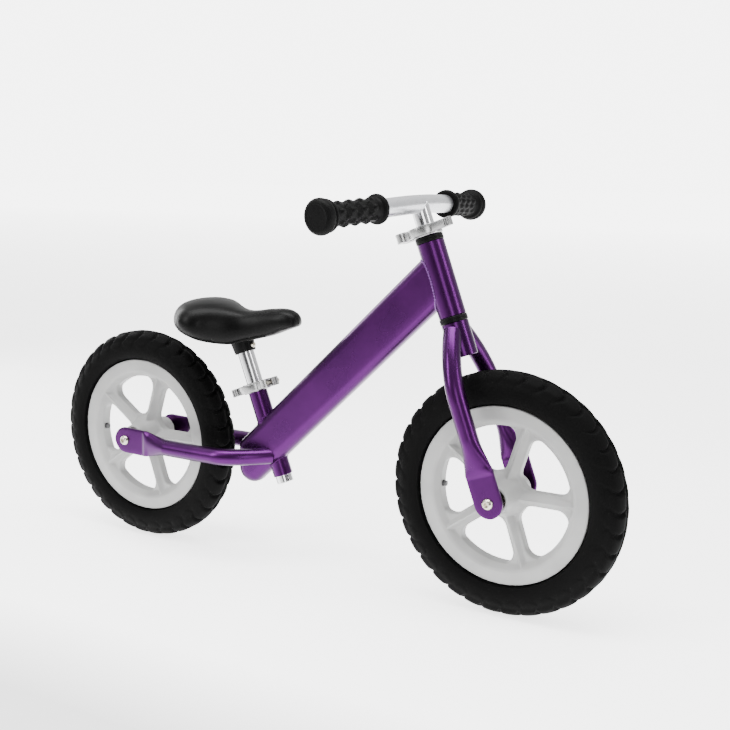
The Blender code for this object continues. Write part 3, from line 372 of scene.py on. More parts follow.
NYLON = grained("moulded_nylon_grey", "#8E8E8D", "#989897", (0.40, 0.50), 0.0008, 0.12, 1.53)
FOAM = grained("foam_tyre_black", "#020202", "#050505", (0.58, 0.74), 0.0007, 0.45, gloss=0.05)
RUBBER = grained("soft_rubber_black", "#020202", "#050505", (0.48, 0.62), 0.0006, 0.30, gloss=0.07)
SADDLE_SKIN = grained("saddle_skin_black", "#020202", "#050505", (0.34, 0.42), 0.0015, 0.12, cells=True,
                      gloss=0.10)
BLACK = grained("moulded_plastic_black", "#020202", "#050505", (0.36, 0.46), 0.0006, 0.10, gloss=0.10)
PLUG_RUBBER = grained("rubber_plug_grey", "#3A3A3B", "#464647", (0.5, 0.6), 0.0006, 0.1)
print("finishes:", len(bpy.data.materials))

# %% [markdown]
# ## Handing a piece over
# Each finished piece gets its finish, is smoothed below an edge angle, rides on its body, and
# hides the plain solids that it stands for.


# %% Settle a piece
def settle(piece, finish, slot, body, *nodes, smooth=35):
    """Finish a piece, let it ride on its body and hide the plain nodes that it stands for."""
    piece.data.materials.clear()
    piece.data.materials.append(finish)
    only(piece)
    bpy.ops.object.shade_smooth_by_angle(angle=math.radians(smooth))
    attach(piece, body)
    if nodes:
        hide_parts(*nodes)
    print(f"{piece.name}: {len(piece.data.polygons)} faces")
    return piece


def sleeve(inner, outer, low, high, edge=0.0005):
    """Section of a ring or tube with small bevels on its outer edges."""
    return [
        (inner, low), (outer - edge, low), (outer, low + edge), (outer, high - edge),
        (outer - edge, high), (inner, high),
    ]


# %% [markdown]
# ## Main tube
# The main tube is a deep oval aluminium section, cut square at the rear and pressed round, and
# mitred to the head tube in front. In side view it is a slanting plate, so an outline is filled
# and its edges are rounded by nearly half its width, then the head tube's space is cut away.


# %% Main tube
MAIN_HALF_HEIGHT, MAIN_HALF_WIDTH, MAIN_EDGE = 0.029, 0.0155, 0.0138
MAIN_REAR_TOP, MAIN_REAR_LOW = 0.0012, 0.0062     # extra rounding at the rear end's corners
HEAD_RADIUS, SEAT_TUBE_RADIUS = 0.0165, 0.0127


def rounded(corners, radii, count):
    """Replace each corner of a counter-clockwise outline by an arc of its own radius."""
    outline = []
    for i, (corner, radius) in enumerate(zip(corners, radii)):
        here = Vector(corner)
        if radius <= 0:
            outline.append(tuple(here))
            continue
        back = (Vector(corners[i - 1]) - here).normalized()
        ahead = (Vector(corners[(i + 1) % len(corners)]) - here).normalized()
        half = back.angle(ahead) / 2
        centre = here + (back + ahead).normalized() * radius / math.sin(half)
        first = here + back * radius / math.tan(half) - centre
        last = here + ahead * radius / math.tan(half) - centre
        start = math.atan2(first.y, first.x)
        outline += arc(centre, radius, start, start - first.angle_signed(last), count)
    return outline


def main_tube():
    """The side view, filled and rounded, with room for the head tube and the seat tube."""
    half = MAIN_HALF_HEIGHT - MAIN_EDGE
    rear_x = REAR_END_X + MAIN_EDGE
    front = MAIN_FRONT + UP_MAIN * 0.03
    top, low = front + ACROSS_MAIN * half, front - ACROSS_MAIN * half
    rear_top = top - UP_MAIN * ((top.x - rear_x) / UP_MAIN.x)
    rear_low = low - UP_MAIN * ((low.x - rear_x) / UP_MAIN.x)
    corners = [(p.x, p.z) for p in (low, top, rear_top, rear_low)]
    outline = rounded(corners, (0, 0, MAIN_REAR_TOP, MAIN_REAR_LOW), 10)
    piece = plate("main_tube_oval", outline, MAIN_HALF_WIDTH, MAIN_EDGE, UPRIGHT)
    for radius, matrix, tall in ((HEAD_RADIUS, STEER, 0.36), (SEAT_TUBE_RADIUS, SEAT, 0.2)):
        cut(piece, rod("room", radius, -tall, tall + 0.1, matrix, 96))
    front_room = block("front_room", (0.2, 0.1, 0.4))
    cut(piece, placed(front_room, STEER @ Matrix.Translation((0.094, 0, 0.27))))
    return settle(piece, PURPLE, "purple_frame", "frame", "main_tube", smooth=28)


main_tube()

# %% [markdown]
# ## Weld beads
# A weld on aluminium is a row of overlapping puddles. Each seam is a rolled-up bead along a
# path on the joint, whose thickness swells and dips once for every puddle, about 3 mm apart.


# %% Weld beads
def bead(name, path, body, size, pitch=0.0030, finish=WELD):
    """A rippled bead along a ring of points."""
    spots = [Vector(p) for p in (*path, path[0])]
    lengths = [0.0]
    for a, b in zip(spots, spots[1:]):
        lengths.append(lengths[-1] + (b - a).length)
    puddles = max(6, round(lengths[-1] / pitch))
    steps = puddles * 4

    def at(distance):
        """The spot at a distance along the path."""
        distance = min(max(distance, 0), lengths[-1])
        i = max(k for k in range(len(lengths) - 1) if lengths[k] <= distance + 1e-9)
        share = (distance - lengths[i]) / max(1e-9, lengths[i + 1] - lengths[i])
        return spots[i].lerp(spots[i + 1], share)

    centre = sum(spots, Vector()) / len(spots)

    def spot(u, v):
        u = round(u * steps) % steps / steps
        here, look = at(u * lengths[-1]), 0.0008
        ahead = (at(u * lengths[-1] + look) - at(u * lengths[-1] - look)).normalized()
        out = here - centre
        out = (out - ahead * out.dot(ahead)).normalized()
        side = ahead.cross(out)
        ripple = 0.45 + 0.55 * abs(math.sin(math.pi * puddles * u))
        angle = 2 * math.pi * v
        return here + (out * math.cos(angle) * 0.75 + side * math.sin(angle)) * size * ripple

    piece = rolled(name, steps, 8, spot)
    return settle(piece, finish, "purple_frame", body, smooth=80)


def oval_section(count=96):
    """The main tube's section as (up across the tube, sideways) points."""
    flat_up, flat_side = MAIN_HALF_HEIGHT - MAIN_EDGE, MAIN_HALF_WIDTH - MAIN_EDGE
    points = []
    for i in range(count):
        angle = 2 * math.pi * i / count
        c, s = math.cos(angle), math.sin(angle)
        points.append((
            math.copysign(flat_up * min(1, abs(c) * 3), c) + MAIN_EDGE * c,
            math.copysign(flat_side, s) * min(1, abs(s) * 3) + MAIN_EDGE * s,
        ))
    return points


def onto_cylinder(start, direction, origin, axis, radius):
    """First point where a line meets a cylinder about an axis."""
    across = start - origin - axis * (start - origin).dot(axis)
    run = direction - axis * direction.dot(axis)
    a, b, c = run.dot(run), 2 * run.dot(across), across.dot(across) - radius ** 2
    root = math.sqrt(max(0, b * b - 4 * a * c))
    return start + direction * ((-b - root) / (2 * a))


head_seam = [
    onto_cylinder(
        MAIN_FRONT - UP_MAIN * 0.1 + ACROSS_MAIN * up + LEFT * side, UP_MAIN,
        FRONT_AXLE, UP_STEER, HEAD_RADIUS + 0.0002,
    )
    for up, side in oval_section()
]
bead("weld_head_tube", head_seam, "frame", 0.0015, 0.0036)

# %% [markdown]
# ## Head tube, seat tube and headset
# These are round, so each is a section spun about its axis. The black headset cups have a
# small groove where the cover ring sits on the cup.

# %% Round frame pieces
HEAD_WALL, SEAT_TUBE_BORE = 0.002, 0.0114
SEAT_TUBE_LOW, SEAT_TUBE_HIGH = -0.0485, 0.080
SLOT_LENGTH, SLOT_HALF, SLOT_START = 0.030, 0.0011, 0.043
settle(
    spun("head_tube_round", sleeve(HEAD_RADIUS - HEAD_WALL, HEAD_RADIUS, HEAD_BOTTOM, HEAD_TOP), STEER, 96),
    PURPLE, "purple_frame", "frame", "head_tube",
)
seat_tube_section = sleeve(SEAT_TUBE_BORE, SEAT_TUBE_RADIUS, SEAT_TUBE_LOW, SEAT_TUBE_HIGH)
seat_tube = spun("seat_tube_round", seat_tube_section, SEAT, 80)
slot_end = SLOT_START + SLOT_LENGTH
slot = [(SLOT_START, -SLOT_HALF), (slot_end, -SLOT_HALF), (slot_end, SLOT_HALF), (SLOT_START, SLOT_HALF)]
slot = rounded(slot, (0.001,) * 4, 5)
on_front = SEAT @ Matrix.Translation((0.012, 0, 0)) @ Matrix.Rotation(-math.pi / 2, 4, "Y")
cut(seat_tube, plate("slot", slot, 0.004, 0.0002, on_front))
settle(seat_tube, PURPLE, "purple_frame", "frame", "seat_tube")
for place, low in (("lower", LOWER_RING), ("upper", UPPER_RING)):
    r, top, groove = HEAD_RADIUS + 0.0005, low + 0.007, low + 0.0035
    ring = [
        (0.0130, low), (r - 0.0006, low), (r, low + 0.0006), (r, groove - 0.0003), (r - 0.0003, groove),
        (r, groove + 0.0003), (r, top - 0.0006), (r - 0.0006, top), (0.0130, top),
    ]
    settle(
        spun(f"headset_ring_{place}", ring, STEER, 80), BLACK, "black_plastic", "frame",
        f"headset_cup_{place}", f"headset_bearing_{place}",
    )

# %% [markdown]
# ## Flattened tubes
# The fork blades and the stays are 22 mm tubes. Each is pressed flat into a round-ended plate
# about the axle, grows round again within a hand's width, and curves in to the middle. A flat
# grid is rolled up along that route, and each ring's height and thickness change on the way.

# %% Blades and stays
DROPOUT_Y, DROPOUT_RADIUS, DROPOUT_HALF = 0.0485, 0.018, 0.0025
FLAT_END, TAPER = 0.033, 0.042


def flattening(distance):
    """Half height and half thickness of the tube at a distance from the axle."""
    if distance <= 0:                             # the end is round about the axle
        return DROPOUT_RADIUS * math.sqrt(max(0, 1 - (distance / DROPOUT_RADIUS) ** 2)), DROPOUT_HALF
    grown = min(1, max(0, (distance - FLAT_END) / TAPER))
    height = DROPOUT_RADIUS + (TUBE_RADIUS - DROPOUT_RADIUS) * smooth_step(0, 1, grown)
    crease = 0.0005 * smooth_step(0, 0.0008, distance - FLAT_END) * (1 - grown)
    return height, DROPOUT_HALF + crease + (TUBE_RADIUS - DROPOUT_HALF) * grown ** 0.75


def flattened_tube(name, length, line, sign, matrix):
    """line(distance) gives how far out the tube's middle is and how much it sags."""
    rings, ends = 110, 10                         # the first rings make the round end

    def spot(u, v):
        ring = u * rings
        if ring <= ends:
            distance = -DROPOUT_RADIUS * math.cos(math.pi / 2 * ring / ends)
        else:
            distance = (ring - ends) / (rings - ends) * length
        tall, wide = flattening(distance)
        side, sag = line(distance)
        side_ahead, sag_ahead = line(distance + 0.001)
        ahead = Vector((0.001, side_ahead - side, sag_ahead - sag)).normalized()
        out = Vector((0, 1, 0))
        out = (out - ahead * out.dot(ahead)).normalized()
        up = ahead.cross(out)
        square = 2 + 5 * (1 - smooth_step(DROPOUT_HALF, TUBE_RADIUS * 0.55, wide))
        angle = 2 * math.pi * v
        c, s = math.cos(angle), math.sin(angle)
        a = math.copysign(abs(c) ** (2 / square), c) * tall
        b = math.copysign(abs(s) ** (2 / square), s) * wide
        here = Vector((distance, side, sag)) + up * a + out * b
        return Vector((here.x, here.y * sign, here.z))

    return rolled(name, rings, 48, spot, matrix)


SHOULDER_LENGTH = 0.080                           # height over which a blade curves in
SHOULDER = CROWN_BOTTOM - 0.61 * SHOULDER_LENGTH
BLADE_TOP_Y = 0.012


def blade_line(distance):
    """A fork blade runs straight up from its axle end, then curves in to the crown."""
    inward = max(0, (distance - SHOULDER) / SHOULDER_LENGTH) ** 1.85
    return DROPOUT_Y - (DROPOUT_Y - BLADE_TOP_Y) * inward, 0.0


STAY_BEND = TYRE_RADIUS + 0.0106                  # the stays stay straight to just past the tyre
STAY_JOINT = TYRE_RADIUS + 0.0191 + 0.0495        # from the axle to the welds
STAY_JOINT_Y, STAY_SAG = 0.014, 0.0015


def stay_line(distance):
    """A stay curves in to the main tube's side and sags by a hair."""
    inward = max(0, (distance - STAY_BEND) / (STAY_JOINT - STAY_BEND)) ** 1.7
    sag = STAY_SAG * math.sin(math.pi * min(1, max(0, distance / STAY_JOINT)))
    return DROPOUT_Y - (DROPOUT_Y - STAY_JOINT_Y) * inward, -sag


for side, sign in (("left", 1), ("right", -1)):
    blade = flattened_tube(f"fork_tube_{side}", SHOULDER + SHOULDER_LENGTH, blade_line, sign,
                           STEER @ UP_TO_ALONG)
    cut(blade, rod("crown_room", HEAD_RADIUS, 0.15, 0.25, STEER, 96))
    settle(blade, PURPLE, "purple_frame", "steering", f"fork_blade_{side}", smooth=40)
    stay = flattened_tube(f"stay_tube_{side}", STAY_JOINT + 0.005, stay_line, sign, REAR_WHEEL)
    settle(stay, PURPLE, "purple_frame", "frame", f"chainstay_{side}", smooth=40)

# %% [markdown]
# ## Crown and steerer
# The two blades meet a short round crown under the headset. The steerer goes on up inside the
# head tube and shows only as a ring in the clamp.

# %% Crown
STEERER_BORE, STEERER_RADIUS = 0.0114, 0.0127
crown_section = [
    (STEERER_BORE, CROWN_BOTTOM), (HEAD_RADIUS - 0.0008, CROWN_BOTTOM),
    (HEAD_RADIUS, CROWN_BOTTOM + 0.0008), (HEAD_RADIUS, CROWN_TOP - 0.0005),
    (HEAD_RADIUS - 0.0005, CROWN_TOP), (STEERER_RADIUS, CROWN_TOP),
    (STEERER_RADIUS, STEERER_TOP), (STEERER_BORE, STEERER_TOP),
]
settle(spun("fork_crown", crown_section, STEER, 96), PURPLE, "purple_frame", "steering",
       "steerer_and_crown")

# %% [markdown]
# ## Wheels
# A balance bike's wheel is one nylon moulding: a deep rim, five ribbed spokes and a hub, all
# with generous fillets so that the plastic flows. The parts are made roughly, merged by a
# voxel remesh of about a millimetre, and relaxed a little, which rounds every inner corner.

# %% Wheel moulding
RIM_RADIUS, RIM_HALF, WINDOW_RADIUS, RIM_SLOPE = 0.1078, 0.0145, 0.0835, 0.009
SPOKES, SPOKE_HALF, WEB_HALF, RIDGE = 5, 0.0088, 0.0065, 0.0128
RIM_LIP, RIM_FLOOR = 0.0055, 0.1000               # width of each flange, bottom of the channel
WINDOW_INNER, WINDOW_CORNER = 0.029, 0.014
HUB_HALF, HUB_RADIUS, BEARING_SEAT = 0.034, 0.0173, 0.0143
VOXEL = 0.0011


def window(turn, half_spoke, corner, inner, outer):
    """One opening between two spokes, round at every corner."""
    half = math.pi / SPOKES
    margin = half_spoke + corner
    far = half - math.asin(margin / (outer - corner))
    near = half - math.asin(margin / (inner + corner))
    rim_side = [((outer - corner) * math.cos(a), (outer - corner) * math.sin(a)) for a in (-far, far)]
    points = arc(rim_side[0], corner, -half - math.pi / 2, -far, 12)
    points += arc((0, 0), outer, -far, far, 24)[1:-1]
    points += arc(rim_side[1], corner, far, half + math.pi / 2, 12)
    hub_side = [((inner + corner) * math.cos(a), (inner + corner) * math.sin(a)) for a in (near, -near)]
    points += arc(hub_side[0], corner, half + math.pi / 2, math.pi, 8)
    points += arc(hub_side[1], corner, math.pi, 3 * math.pi / 2 - half, 8)
    cos, sin = math.cos(turn), math.sin(turn)
    return [(x * cos - y * sin, x * sin + y * cos) for x, y in points]


def spoke_rib(turn):
    """A roof-shaped rib along one spoke, on both faces, lowest at the rim."""
    start, end = 0.015, WINDOW_RADIUS + 0.0085

    def spot(u, v):
        wide, flank = SPOKE_HALF * (1 - 0.35 * u), WEB_HALF * 0.8
        ridge = RIDGE + 0.004 * (1 - u) ** 3      # the ridge rises to the hub
        corners = (
            (ridge, 0), (flank, wide), (-flank, wide), (-ridge, 0), (-flank, -wide), (flank, -wide),
        )
        return Vector((start + (end - start) * u, *corners[round(v * 6) % 6]))

    return rolled("rib", 12, 6, spot, Matrix.Rotation(-turn, 4, "Y"))


def wheel_moulding():
    """Rim, web with its openings, ribs and hub, merged into one moulding."""
    w, s = RIM_HALF, WINDOW_RADIUS + RIM_SLOPE
    channel = w - RIM_LIP
    section = [
        (RIM_FLOOR, -channel), (RIM_RADIUS, -channel), (RIM_RADIUS, -w), (s, -w),
        (s - 0.003, -w + 0.0012), (WINDOW_RADIUS, -WEB_HALF), (WINDOW_RADIUS, WEB_HALF),
        (s - 0.003, w - 0.0012), (s, w), (RIM_RADIUS, w), (RIM_RADIUS, channel), (RIM_FLOOR, channel),
    ]
    pieces = [spun("rim", section, LYING, 144)]
    step = 2 * math.pi / SPOKES
    edge = 0.0022
    holes = [
        window(step * (i + 0.5), SPOKE_HALF - edge, WINDOW_CORNER + edge, WINDOW_INNER - edge,
               WINDOW_RADIUS + 0.003)
        for i in range(SPOKES)
    ]
    holes.append(arc((0, 0), 0.010, 0, 2 * math.pi * 31 / 32, 32))
    disc = arc((0, 0), WINDOW_RADIUS + 0.004, 0, 2 * math.pi * 127 / 128, 128)
    pieces.append(plate("web", disc, WEB_HALF, edge, UPRIGHT, holes))
    pieces += [spoke_rib(step * i) for i in range(SPOKES)]
    hub = [
        (0.0098, -HUB_HALF), (HUB_RADIUS, -HUB_HALF), (HUB_RADIUS + 0.002, -0.022), (0.0245, -0.0105),
        (0.0265, -0.0065), (0.0265, 0.0065), (0.0245, 0.0105), (HUB_RADIUS + 0.002, 0.022),
        (HUB_RADIUS, HUB_HALF), (0.0098, HUB_HALF),
    ]
    pieces.append(spun("hub", hub, LYING, 96))
    whole = only(pieces[0])
    for other in pieces[1:]:
        other.select_set(True)
    bpy.ops.object.join()
    applied(whole, "REMESH", mode="VOXEL", voxel_size=VOXEL, adaptivity=0.0)
    cut(whole, rod("plug_hole", 0.0036, 0.078, 0.096, UP_TO_ALONG, 24))
    for low in (HUB_HALF - 0.008, -HUB_HALF - 0.002):
        pocket = sleeve(0.005, BEARING_SEAT, low, low + 0.010, 0.0001)
        cut(whole, spun("bearing_pocket", pocket, LYING, 64))
    return applied(whole, "SMOOTH", factor=0.5, iterations=5)


moulding = wheel_moulding()
print("wheel moulding faces:", len(moulding.data.polygons))

# %% [markdown]
# ## Foam tyre
# A foam tyre is moulded in one piece with its lugs. Each shoulder lug is a low swelling with a
# round foot on the sidewall, hooked notches part it from its neighbours, and the two sides are
# half a step apart. The grid is rolled round the rim and its corners rise and fall with that.

# %% Tyre
TYRE_HALF, SECTION_HEIGHT, LUGS, LUG_HEIGHT = 0.0226, 0.026, 36, 0.0043
TYRE_CENTRE = TYRE_RADIUS - SECTION_HEIGHT
FOOT = math.asin((TYRE_CENTRE - RIM_RADIUS - GAP) / SECTION_HEIGHT)   # the skin meets the rim here


def lug_height(turn, slope):
    """How far the tread stands up: turn counts lugs, slope is the angle from the tread's middle."""
    tilt = abs(slope) / (math.pi / 2)
    side = (0.5 if slope > 0 else 0.0) * smooth_step(0.06, 0.16, tilt)
    phase = turn + side - min(0.35, 3.2 * (tilt - 0.30) ** 2)
    near = abs((phase % 1.0) - 0.5) * 2          # 0 in a lug's middle, 1 in the notch
    notch = smooth_step(0.68, 0.97, near)
    lobe = 1 - 0.24 * near ** 2.6 - 0.76 * notch
    deep = 0.30 + 0.70 * (1 - smooth_step(0.44, 0.62, tilt))
    foot = 0.90 - 0.22 * near ** 2
    inside = 1 - smooth_step(foot - 0.05, foot + 0.02, tilt)
    middle = 0.50 + 0.50 * smooth_step(0.02, 0.08, tilt)
    return LUG_HEIGHT * lobe * deep * inside * middle


def tyre():
    """Roll the section round the wheel: outer skin first, then the tongue in the rim's channel."""
    around_wheel, around_section, skin = LUGS * 21, 66, 58
    tongue, edge, floor_radius = RIM_HALF - RIM_LIP - GAP, RIM_RADIUS + GAP, RIM_FLOOR + GAP
    steps = [(tongue, edge), (tongue, floor_radius), (0, floor_radius), (-tongue, floor_radius),
             (-tongue, edge)]

    def spot(u, v):
        k = round(v * around_section) % around_section
        turn = 2 * math.pi * (round(u * around_wheel) % around_wheel) / around_wheel
        if k <= skin:
            angle = math.pi + FOOT - (math.pi + 2 * FOOT) * k / skin
            slope = angle - math.pi / 2
            rise = lug_height(LUGS * turn / (2 * math.pi), -slope) - LUG_HEIGHT
            c, s = math.cos(angle), math.sin(angle)
            bulge = abs(c) ** 0.88 * math.copysign(1, c)
            across = (TYRE_HALF + rise * 0.42) * bulge
            out = TYRE_CENTRE + (SECTION_HEIGHT + rise) * s
        else:
            share = (k - skin) / (around_section - skin) * 6
            across, out = steps[min(4, max(0, round(share) - 1))]
        return Vector((out * math.cos(turn), across, out * math.sin(turn)))

    return rolled("tyre", around_wheel, around_section, spot)


foam_tyre = tyre()
print("tyre faces:", len(foam_tyre.data.polygons))

# %% Both wheels
for end, place, body in (("front", FRONT_WHEEL, "front_wheel"), ("rear", REAR_WHEEL, "rear_wheel")):
    for model, finish, slot, node in (
        (moulding, NYLON, "wheel_nylon", f"{end}_wheel_moulding"),
        (foam_tyre, FOAM, "tyre_foam", f"{end}_tyre"),
    ):
        copy = bpy.data.objects.new(f"{node}_detailed", model.data.copy())
        bpy.context.scene.collection.objects.link(copy)
        placed(copy, place)
        settle(copy, finish, slot, body, node, smooth=45)
    plug = rod(f"{end}_rim_plug", 0.0033, 0.079, 0.086, place @ UP_TO_ALONG, 24)
    settle(plug, PLUG_RUBBER, "black_plastic", body)
bpy.data.objects.remove(moulding)
bpy.data.objects.remove(foam_tyre)

# %% [markdown]
# ## Axle bolts, spacers and bearings
# Each dropout is held by a button-head bolt with a hexagon socket, over a black spacer that
# runs in to the bearing. The head is a spun dome, and a six-sided bar cuts its socket.


# %% Hub hardware
def button_bolt(name, matrix):
    """A shank and a domed head of the given height above the dropout, with a hexagon socket."""
    under, head, rim = 0.0513, 0.0070, 0.0044
    section = [
        (0, 0.040), (0.0039, 0.040), (0.0039, under), (head - 0.0002, under), (head, under + 0.0004),
        (head * 0.97, under + 0.0013), (head * 0.86, under + 0.0026), (head * 0.70, under + rim * 0.86),
        (head * 0.58, under + rim), (0, under + rim),
    ]
    piece = spun(name, section, UNMOVED, 64)
    cut(piece, rod("socket", 0.0031, 0.0524, 0.06, UNMOVED, 6))
    return placed(piece, matrix)


for end, place in (("front", FRONT_WHEEL), ("rear", REAR_WHEEL)):
    body = "steering" if end == "front" else "frame"
    wheel_body = f"{end}_wheel"
    for side, outwards in (("left", LYING), ("right", UPRIGHT)):
        out = place @ outwards
        settle(button_bolt(f"{end}_bolt_{side}", out), STEEL, "plated_steel", body,
               f"{end}_axle_bolt_{side}", smooth=30)
        spacer = [
            (0.0063, 0.0343), (0.0088, 0.0343), (0.0090, 0.0347), (0.0090, 0.0405), (0.0078, 0.0412),
            (0.0078, 0.0457), (0.0063, 0.0457),
        ]
        settle(spun(f"{end}_spacer_{side}", spacer, out, 48), BLACK, "black_plastic", body,
               f"{end}_axle_spacer_{side}")
        seal = [
            (0.0063, 0.0262), (0.0140, 0.0262), (0.0140, 0.0340), (0.0124, 0.0340), (0.0118, 0.0336),
            (0.0084, 0.0336), (0.0078, 0.0340), (0.0063, 0.0340),
        ]
        settle(spun(f"{end}_ball_bearing_{side}", seal, out, 64), STEEL, "plated_steel", wheel_body,
               f"{end}_bearing_{side}")

# %% [markdown]
# ## Handlebar and stem
# The bar is 22 mm tube, straight in the middle and swept back at both ends, welded over the
# top of its stem. The bend is spread over a few centimetres so that the tube stays round.

# %% Handlebar
BAR_SWEEP, BAR_STRAIGHT, BAR_HALF = math.radians(8.1), 0.025, 0.182
BEND_LENGTH = 0.020


def bar_back(y):
    """How far back the bar's middle is at a distance from the stem, with a soft bend."""
    beyond = abs(y) - BAR_STRAIGHT
    if beyond <= -BEND_LENGTH:
        return 0.0
    if beyond < BEND_LENGTH:
        return math.tan(BAR_SWEEP) * (beyond + BEND_LENGTH) ** 2 / (4 * BEND_LENGTH)
    return math.tan(BAR_SWEEP) * beyond


def bar_spot(u, v):
    """A corner of the bar's skin, on a ring that stands square to the bent middle line."""
    y = (u * 2 - 1) * BAR_HALF
    slope = (bar_back(abs(y) + 0.001) - bar_back(abs(y) - 0.001)) / 0.002 * (1 if y > 0 else -1)
    across = Vector((1, slope, 0)).normalized()
    angle = 2 * math.pi * v
    here = Vector((-bar_back(y), y, BAR_HEIGHT))
    return here + (across * math.cos(angle) + Vector((0, 0, 1)) * math.sin(angle)) * TUBE_RADIUS


settle(rolled("swept_bar", 96, 56, bar_spot, STEER), BAR_METAL, "satin_aluminium", "handlebar",
       "handlebar", smooth=40)
STEM_BORE, STEM_LOW = 0.0093, 0.2101
stem = spun("stem_post", sleeve(STEM_BORE, TUBE_RADIUS, STEM_LOW, BAR_HEIGHT, 0.0003), STEER, 72)
across_bar = STEER @ Matrix.Translation((0, 0, BAR_HEIGHT)) @ LYING
cut(stem, rod("bar_room", TUBE_RADIUS, -0.03, 0.03, across_bar, 72))
settle(stem, POLISHED, "satin_aluminium", "handlebar", "stem_tube", smooth=30)

stem_seam = []
for i in range(72):
    angle = 2 * math.pi * i / 72
    x, y = TUBE_RADIUS * math.cos(angle), TUBE_RADIUS * math.sin(angle)
    drop = math.sqrt(max(0, TUBE_RADIUS ** 2 - x * x))
    stem_seam.append(STEER @ Vector((x, y, BAR_HEIGHT - drop)))
bead("weld_stem", stem_seam, "handlebar", 0.0007, 0.0024, finish=BAR_METAL)

# %% [markdown]
# ## Grips
# The rubber grips end in a mushroom flange that guards a small hand, with a step ring behind
# it, and a thinner flange inside. Rows of soft bumps stand round the body, each row turned by
# half a step. All of it is one radius that depends on the place along and round the grip.

# %% Grips
GRIP_LENGTH, BUMP_STEP, BUMPS_ROUND, BUMP_HEIGHT = 0.107, 0.0190, 6, 0.0026
# The grip's outline as (distance from its inner end, radius), round the inner flange, the body,
# the step ring and the mushroom end.
GRIP_LINE = [
    (0.0000, 0.0114), (0.0000, 0.0145), (0.0006, 0.0162), (0.0020, 0.0173), (0.0042, 0.0176),
    (0.0062, 0.0171), (0.0074, 0.0158), (0.0082, 0.0142), (0.0105, 0.0131), (0.0130, 0.0128),
    (0.0820, 0.0128), (0.0850, 0.0134), (0.0870, 0.0148), (0.0882, 0.0168), (0.0893, 0.0182),
    (0.0910, 0.0187), (0.0924, 0.0184), (0.0930, 0.0172), (0.0936, 0.0165), (0.0943, 0.0172),
    (0.0948, 0.0186), (0.0962, 0.0198), (0.0990, 0.0203), (0.1015, 0.0202), (0.1040, 0.0194),
    (0.1058, 0.0180), (0.1066, 0.0166), (0.1070, 0.0150), (0.1066, 0.0135), (0.1066, 0.0000),
]


def grip_line(share):
    """Walk along the grip's outline by its length."""
    spots = [Vector(p) for p in GRIP_LINE]
    lengths = [0.0]
    for a, b in zip(spots, spots[1:]):
        lengths.append(lengths[-1] + (b - a).length)
    distance = share * lengths[-1]
    i = max(k for k in range(len(lengths) - 1) if lengths[k] <= distance + 1e-9)
    part = (distance - lengths[i]) / max(1e-9, lengths[i + 1] - lengths[i])
    return spots[i].lerp(spots[i + 1], min(1, part))


def grip_spot(u, v):
    """A corner of the grip's skin, lifted where a bump stands."""
    along, radius = grip_line(u)
    angle = 2 * math.pi * v
    inside = smooth_step(0.013, 0.018, along) * (1 - smooth_step(0.077, 0.082, along))
    wave = math.cos(2 * math.pi * (along - BUMP_STEP) / BUMP_STEP) * math.cos(BUMPS_ROUND * angle)
    radius += inside * (BUMP_HEIGHT * max(0, wave) ** 0.8 - 0.0004 * max(0, -wave))
    return Vector((radius * math.cos(angle), radius * math.sin(angle), along))


for side, sign in (("left", 1), ("right", -1)):
    tip = Vector((-bar_back(BAR_HALF), sign * BAR_HALF, BAR_HEIGHT))
    inward = (Vector((-bar_back(0.08), sign * 0.08, BAR_HEIGHT)) - tip).normalized()
    root = tip + inward * (GRIP_LENGTH - 0.004)
    turn = (-inward).to_track_quat("Z", "Y").to_matrix().to_4x4()
    grip = rolled(f"rubber_grip_{side}", 190, 98, grip_spot, STEER @ Matrix.Translation(root) @ turn)
    settle(grip, RUBBER, "grip_rubber", "handlebar", f"grip_{side}", smooth=50)

# %% [markdown]
# ## Quick-release clamps
# Each clamp is a slit ring with two ears, drawn together by a skewer. Its lever has a forked,
# barrel-shaped head that turns on a pin, a blade that follows the ring round, and a flared tip
# with three ribs for the thumb.

# %% Clamps
CLAMP_TALL, RING_WALL, EAR_REACH, EAR_HALF, SLIT = 0.0125, 0.005, 0.0163, 0.006, 0.0016
CAM_RADIUS, SKEWER_OUT, LEVER_THICK = 0.0075, 0.0093, 0.0045
# Each clamp: its frame, its lower edge, the tube that it holds, where its ears point, how far its
# lever's tip goes beyond the ring, and the body that carries it.
CLAMPS = (
    ("handlebar", STEER, STEER_CLAMP, STEERER_RADIUS, -1, 0.0243, "steering"),
    ("seat", SEAT, 0.0675, SEAT_TUBE_RADIUS, 1, 0.0093, "frame"),
)


def clamp_collar(name, matrix, middle, tube, ears):
    """The slit ring and its two ears in one piece."""
    ring = tube + RING_WALL
    low, high = middle - CLAMP_TALL / 2, middle + CLAMP_TALL / 2
    body = spun(name, sleeve(tube + GAP, ring, low, high, 0.0006), UNMOVED, 80)
    root, reach = ring - 0.004, ring + EAR_REACH
    outline = rounded(
        [(root, -EAR_HALF), (reach, -EAR_HALF), (reach, EAR_HALF), (root, EAR_HALF)],
        (0, 0.0016, 0.0016, 0), 6,
    )
    if ears < 0:
        outline = [(-x, y) for x, y in reversed(outline)]
    lug = plate("ears", outline, CLAMP_TALL / 2 - 0.0005, 0.0005,
                Matrix.Translation((0, 0, middle)))
    cut(body, lug, "UNION")
    slit_length = reach + 0.006
    slit = block("slit", (slit_length, SLIT, 0.04))
    cut(body, placed(slit, Matrix.Translation((ears * slit_length / 2, 0, middle))))
    cut(body, rod("bore", tube + 0.0002, low - 0.01, high + 0.01, UNMOVED, 80))
    return placed(body, matrix)


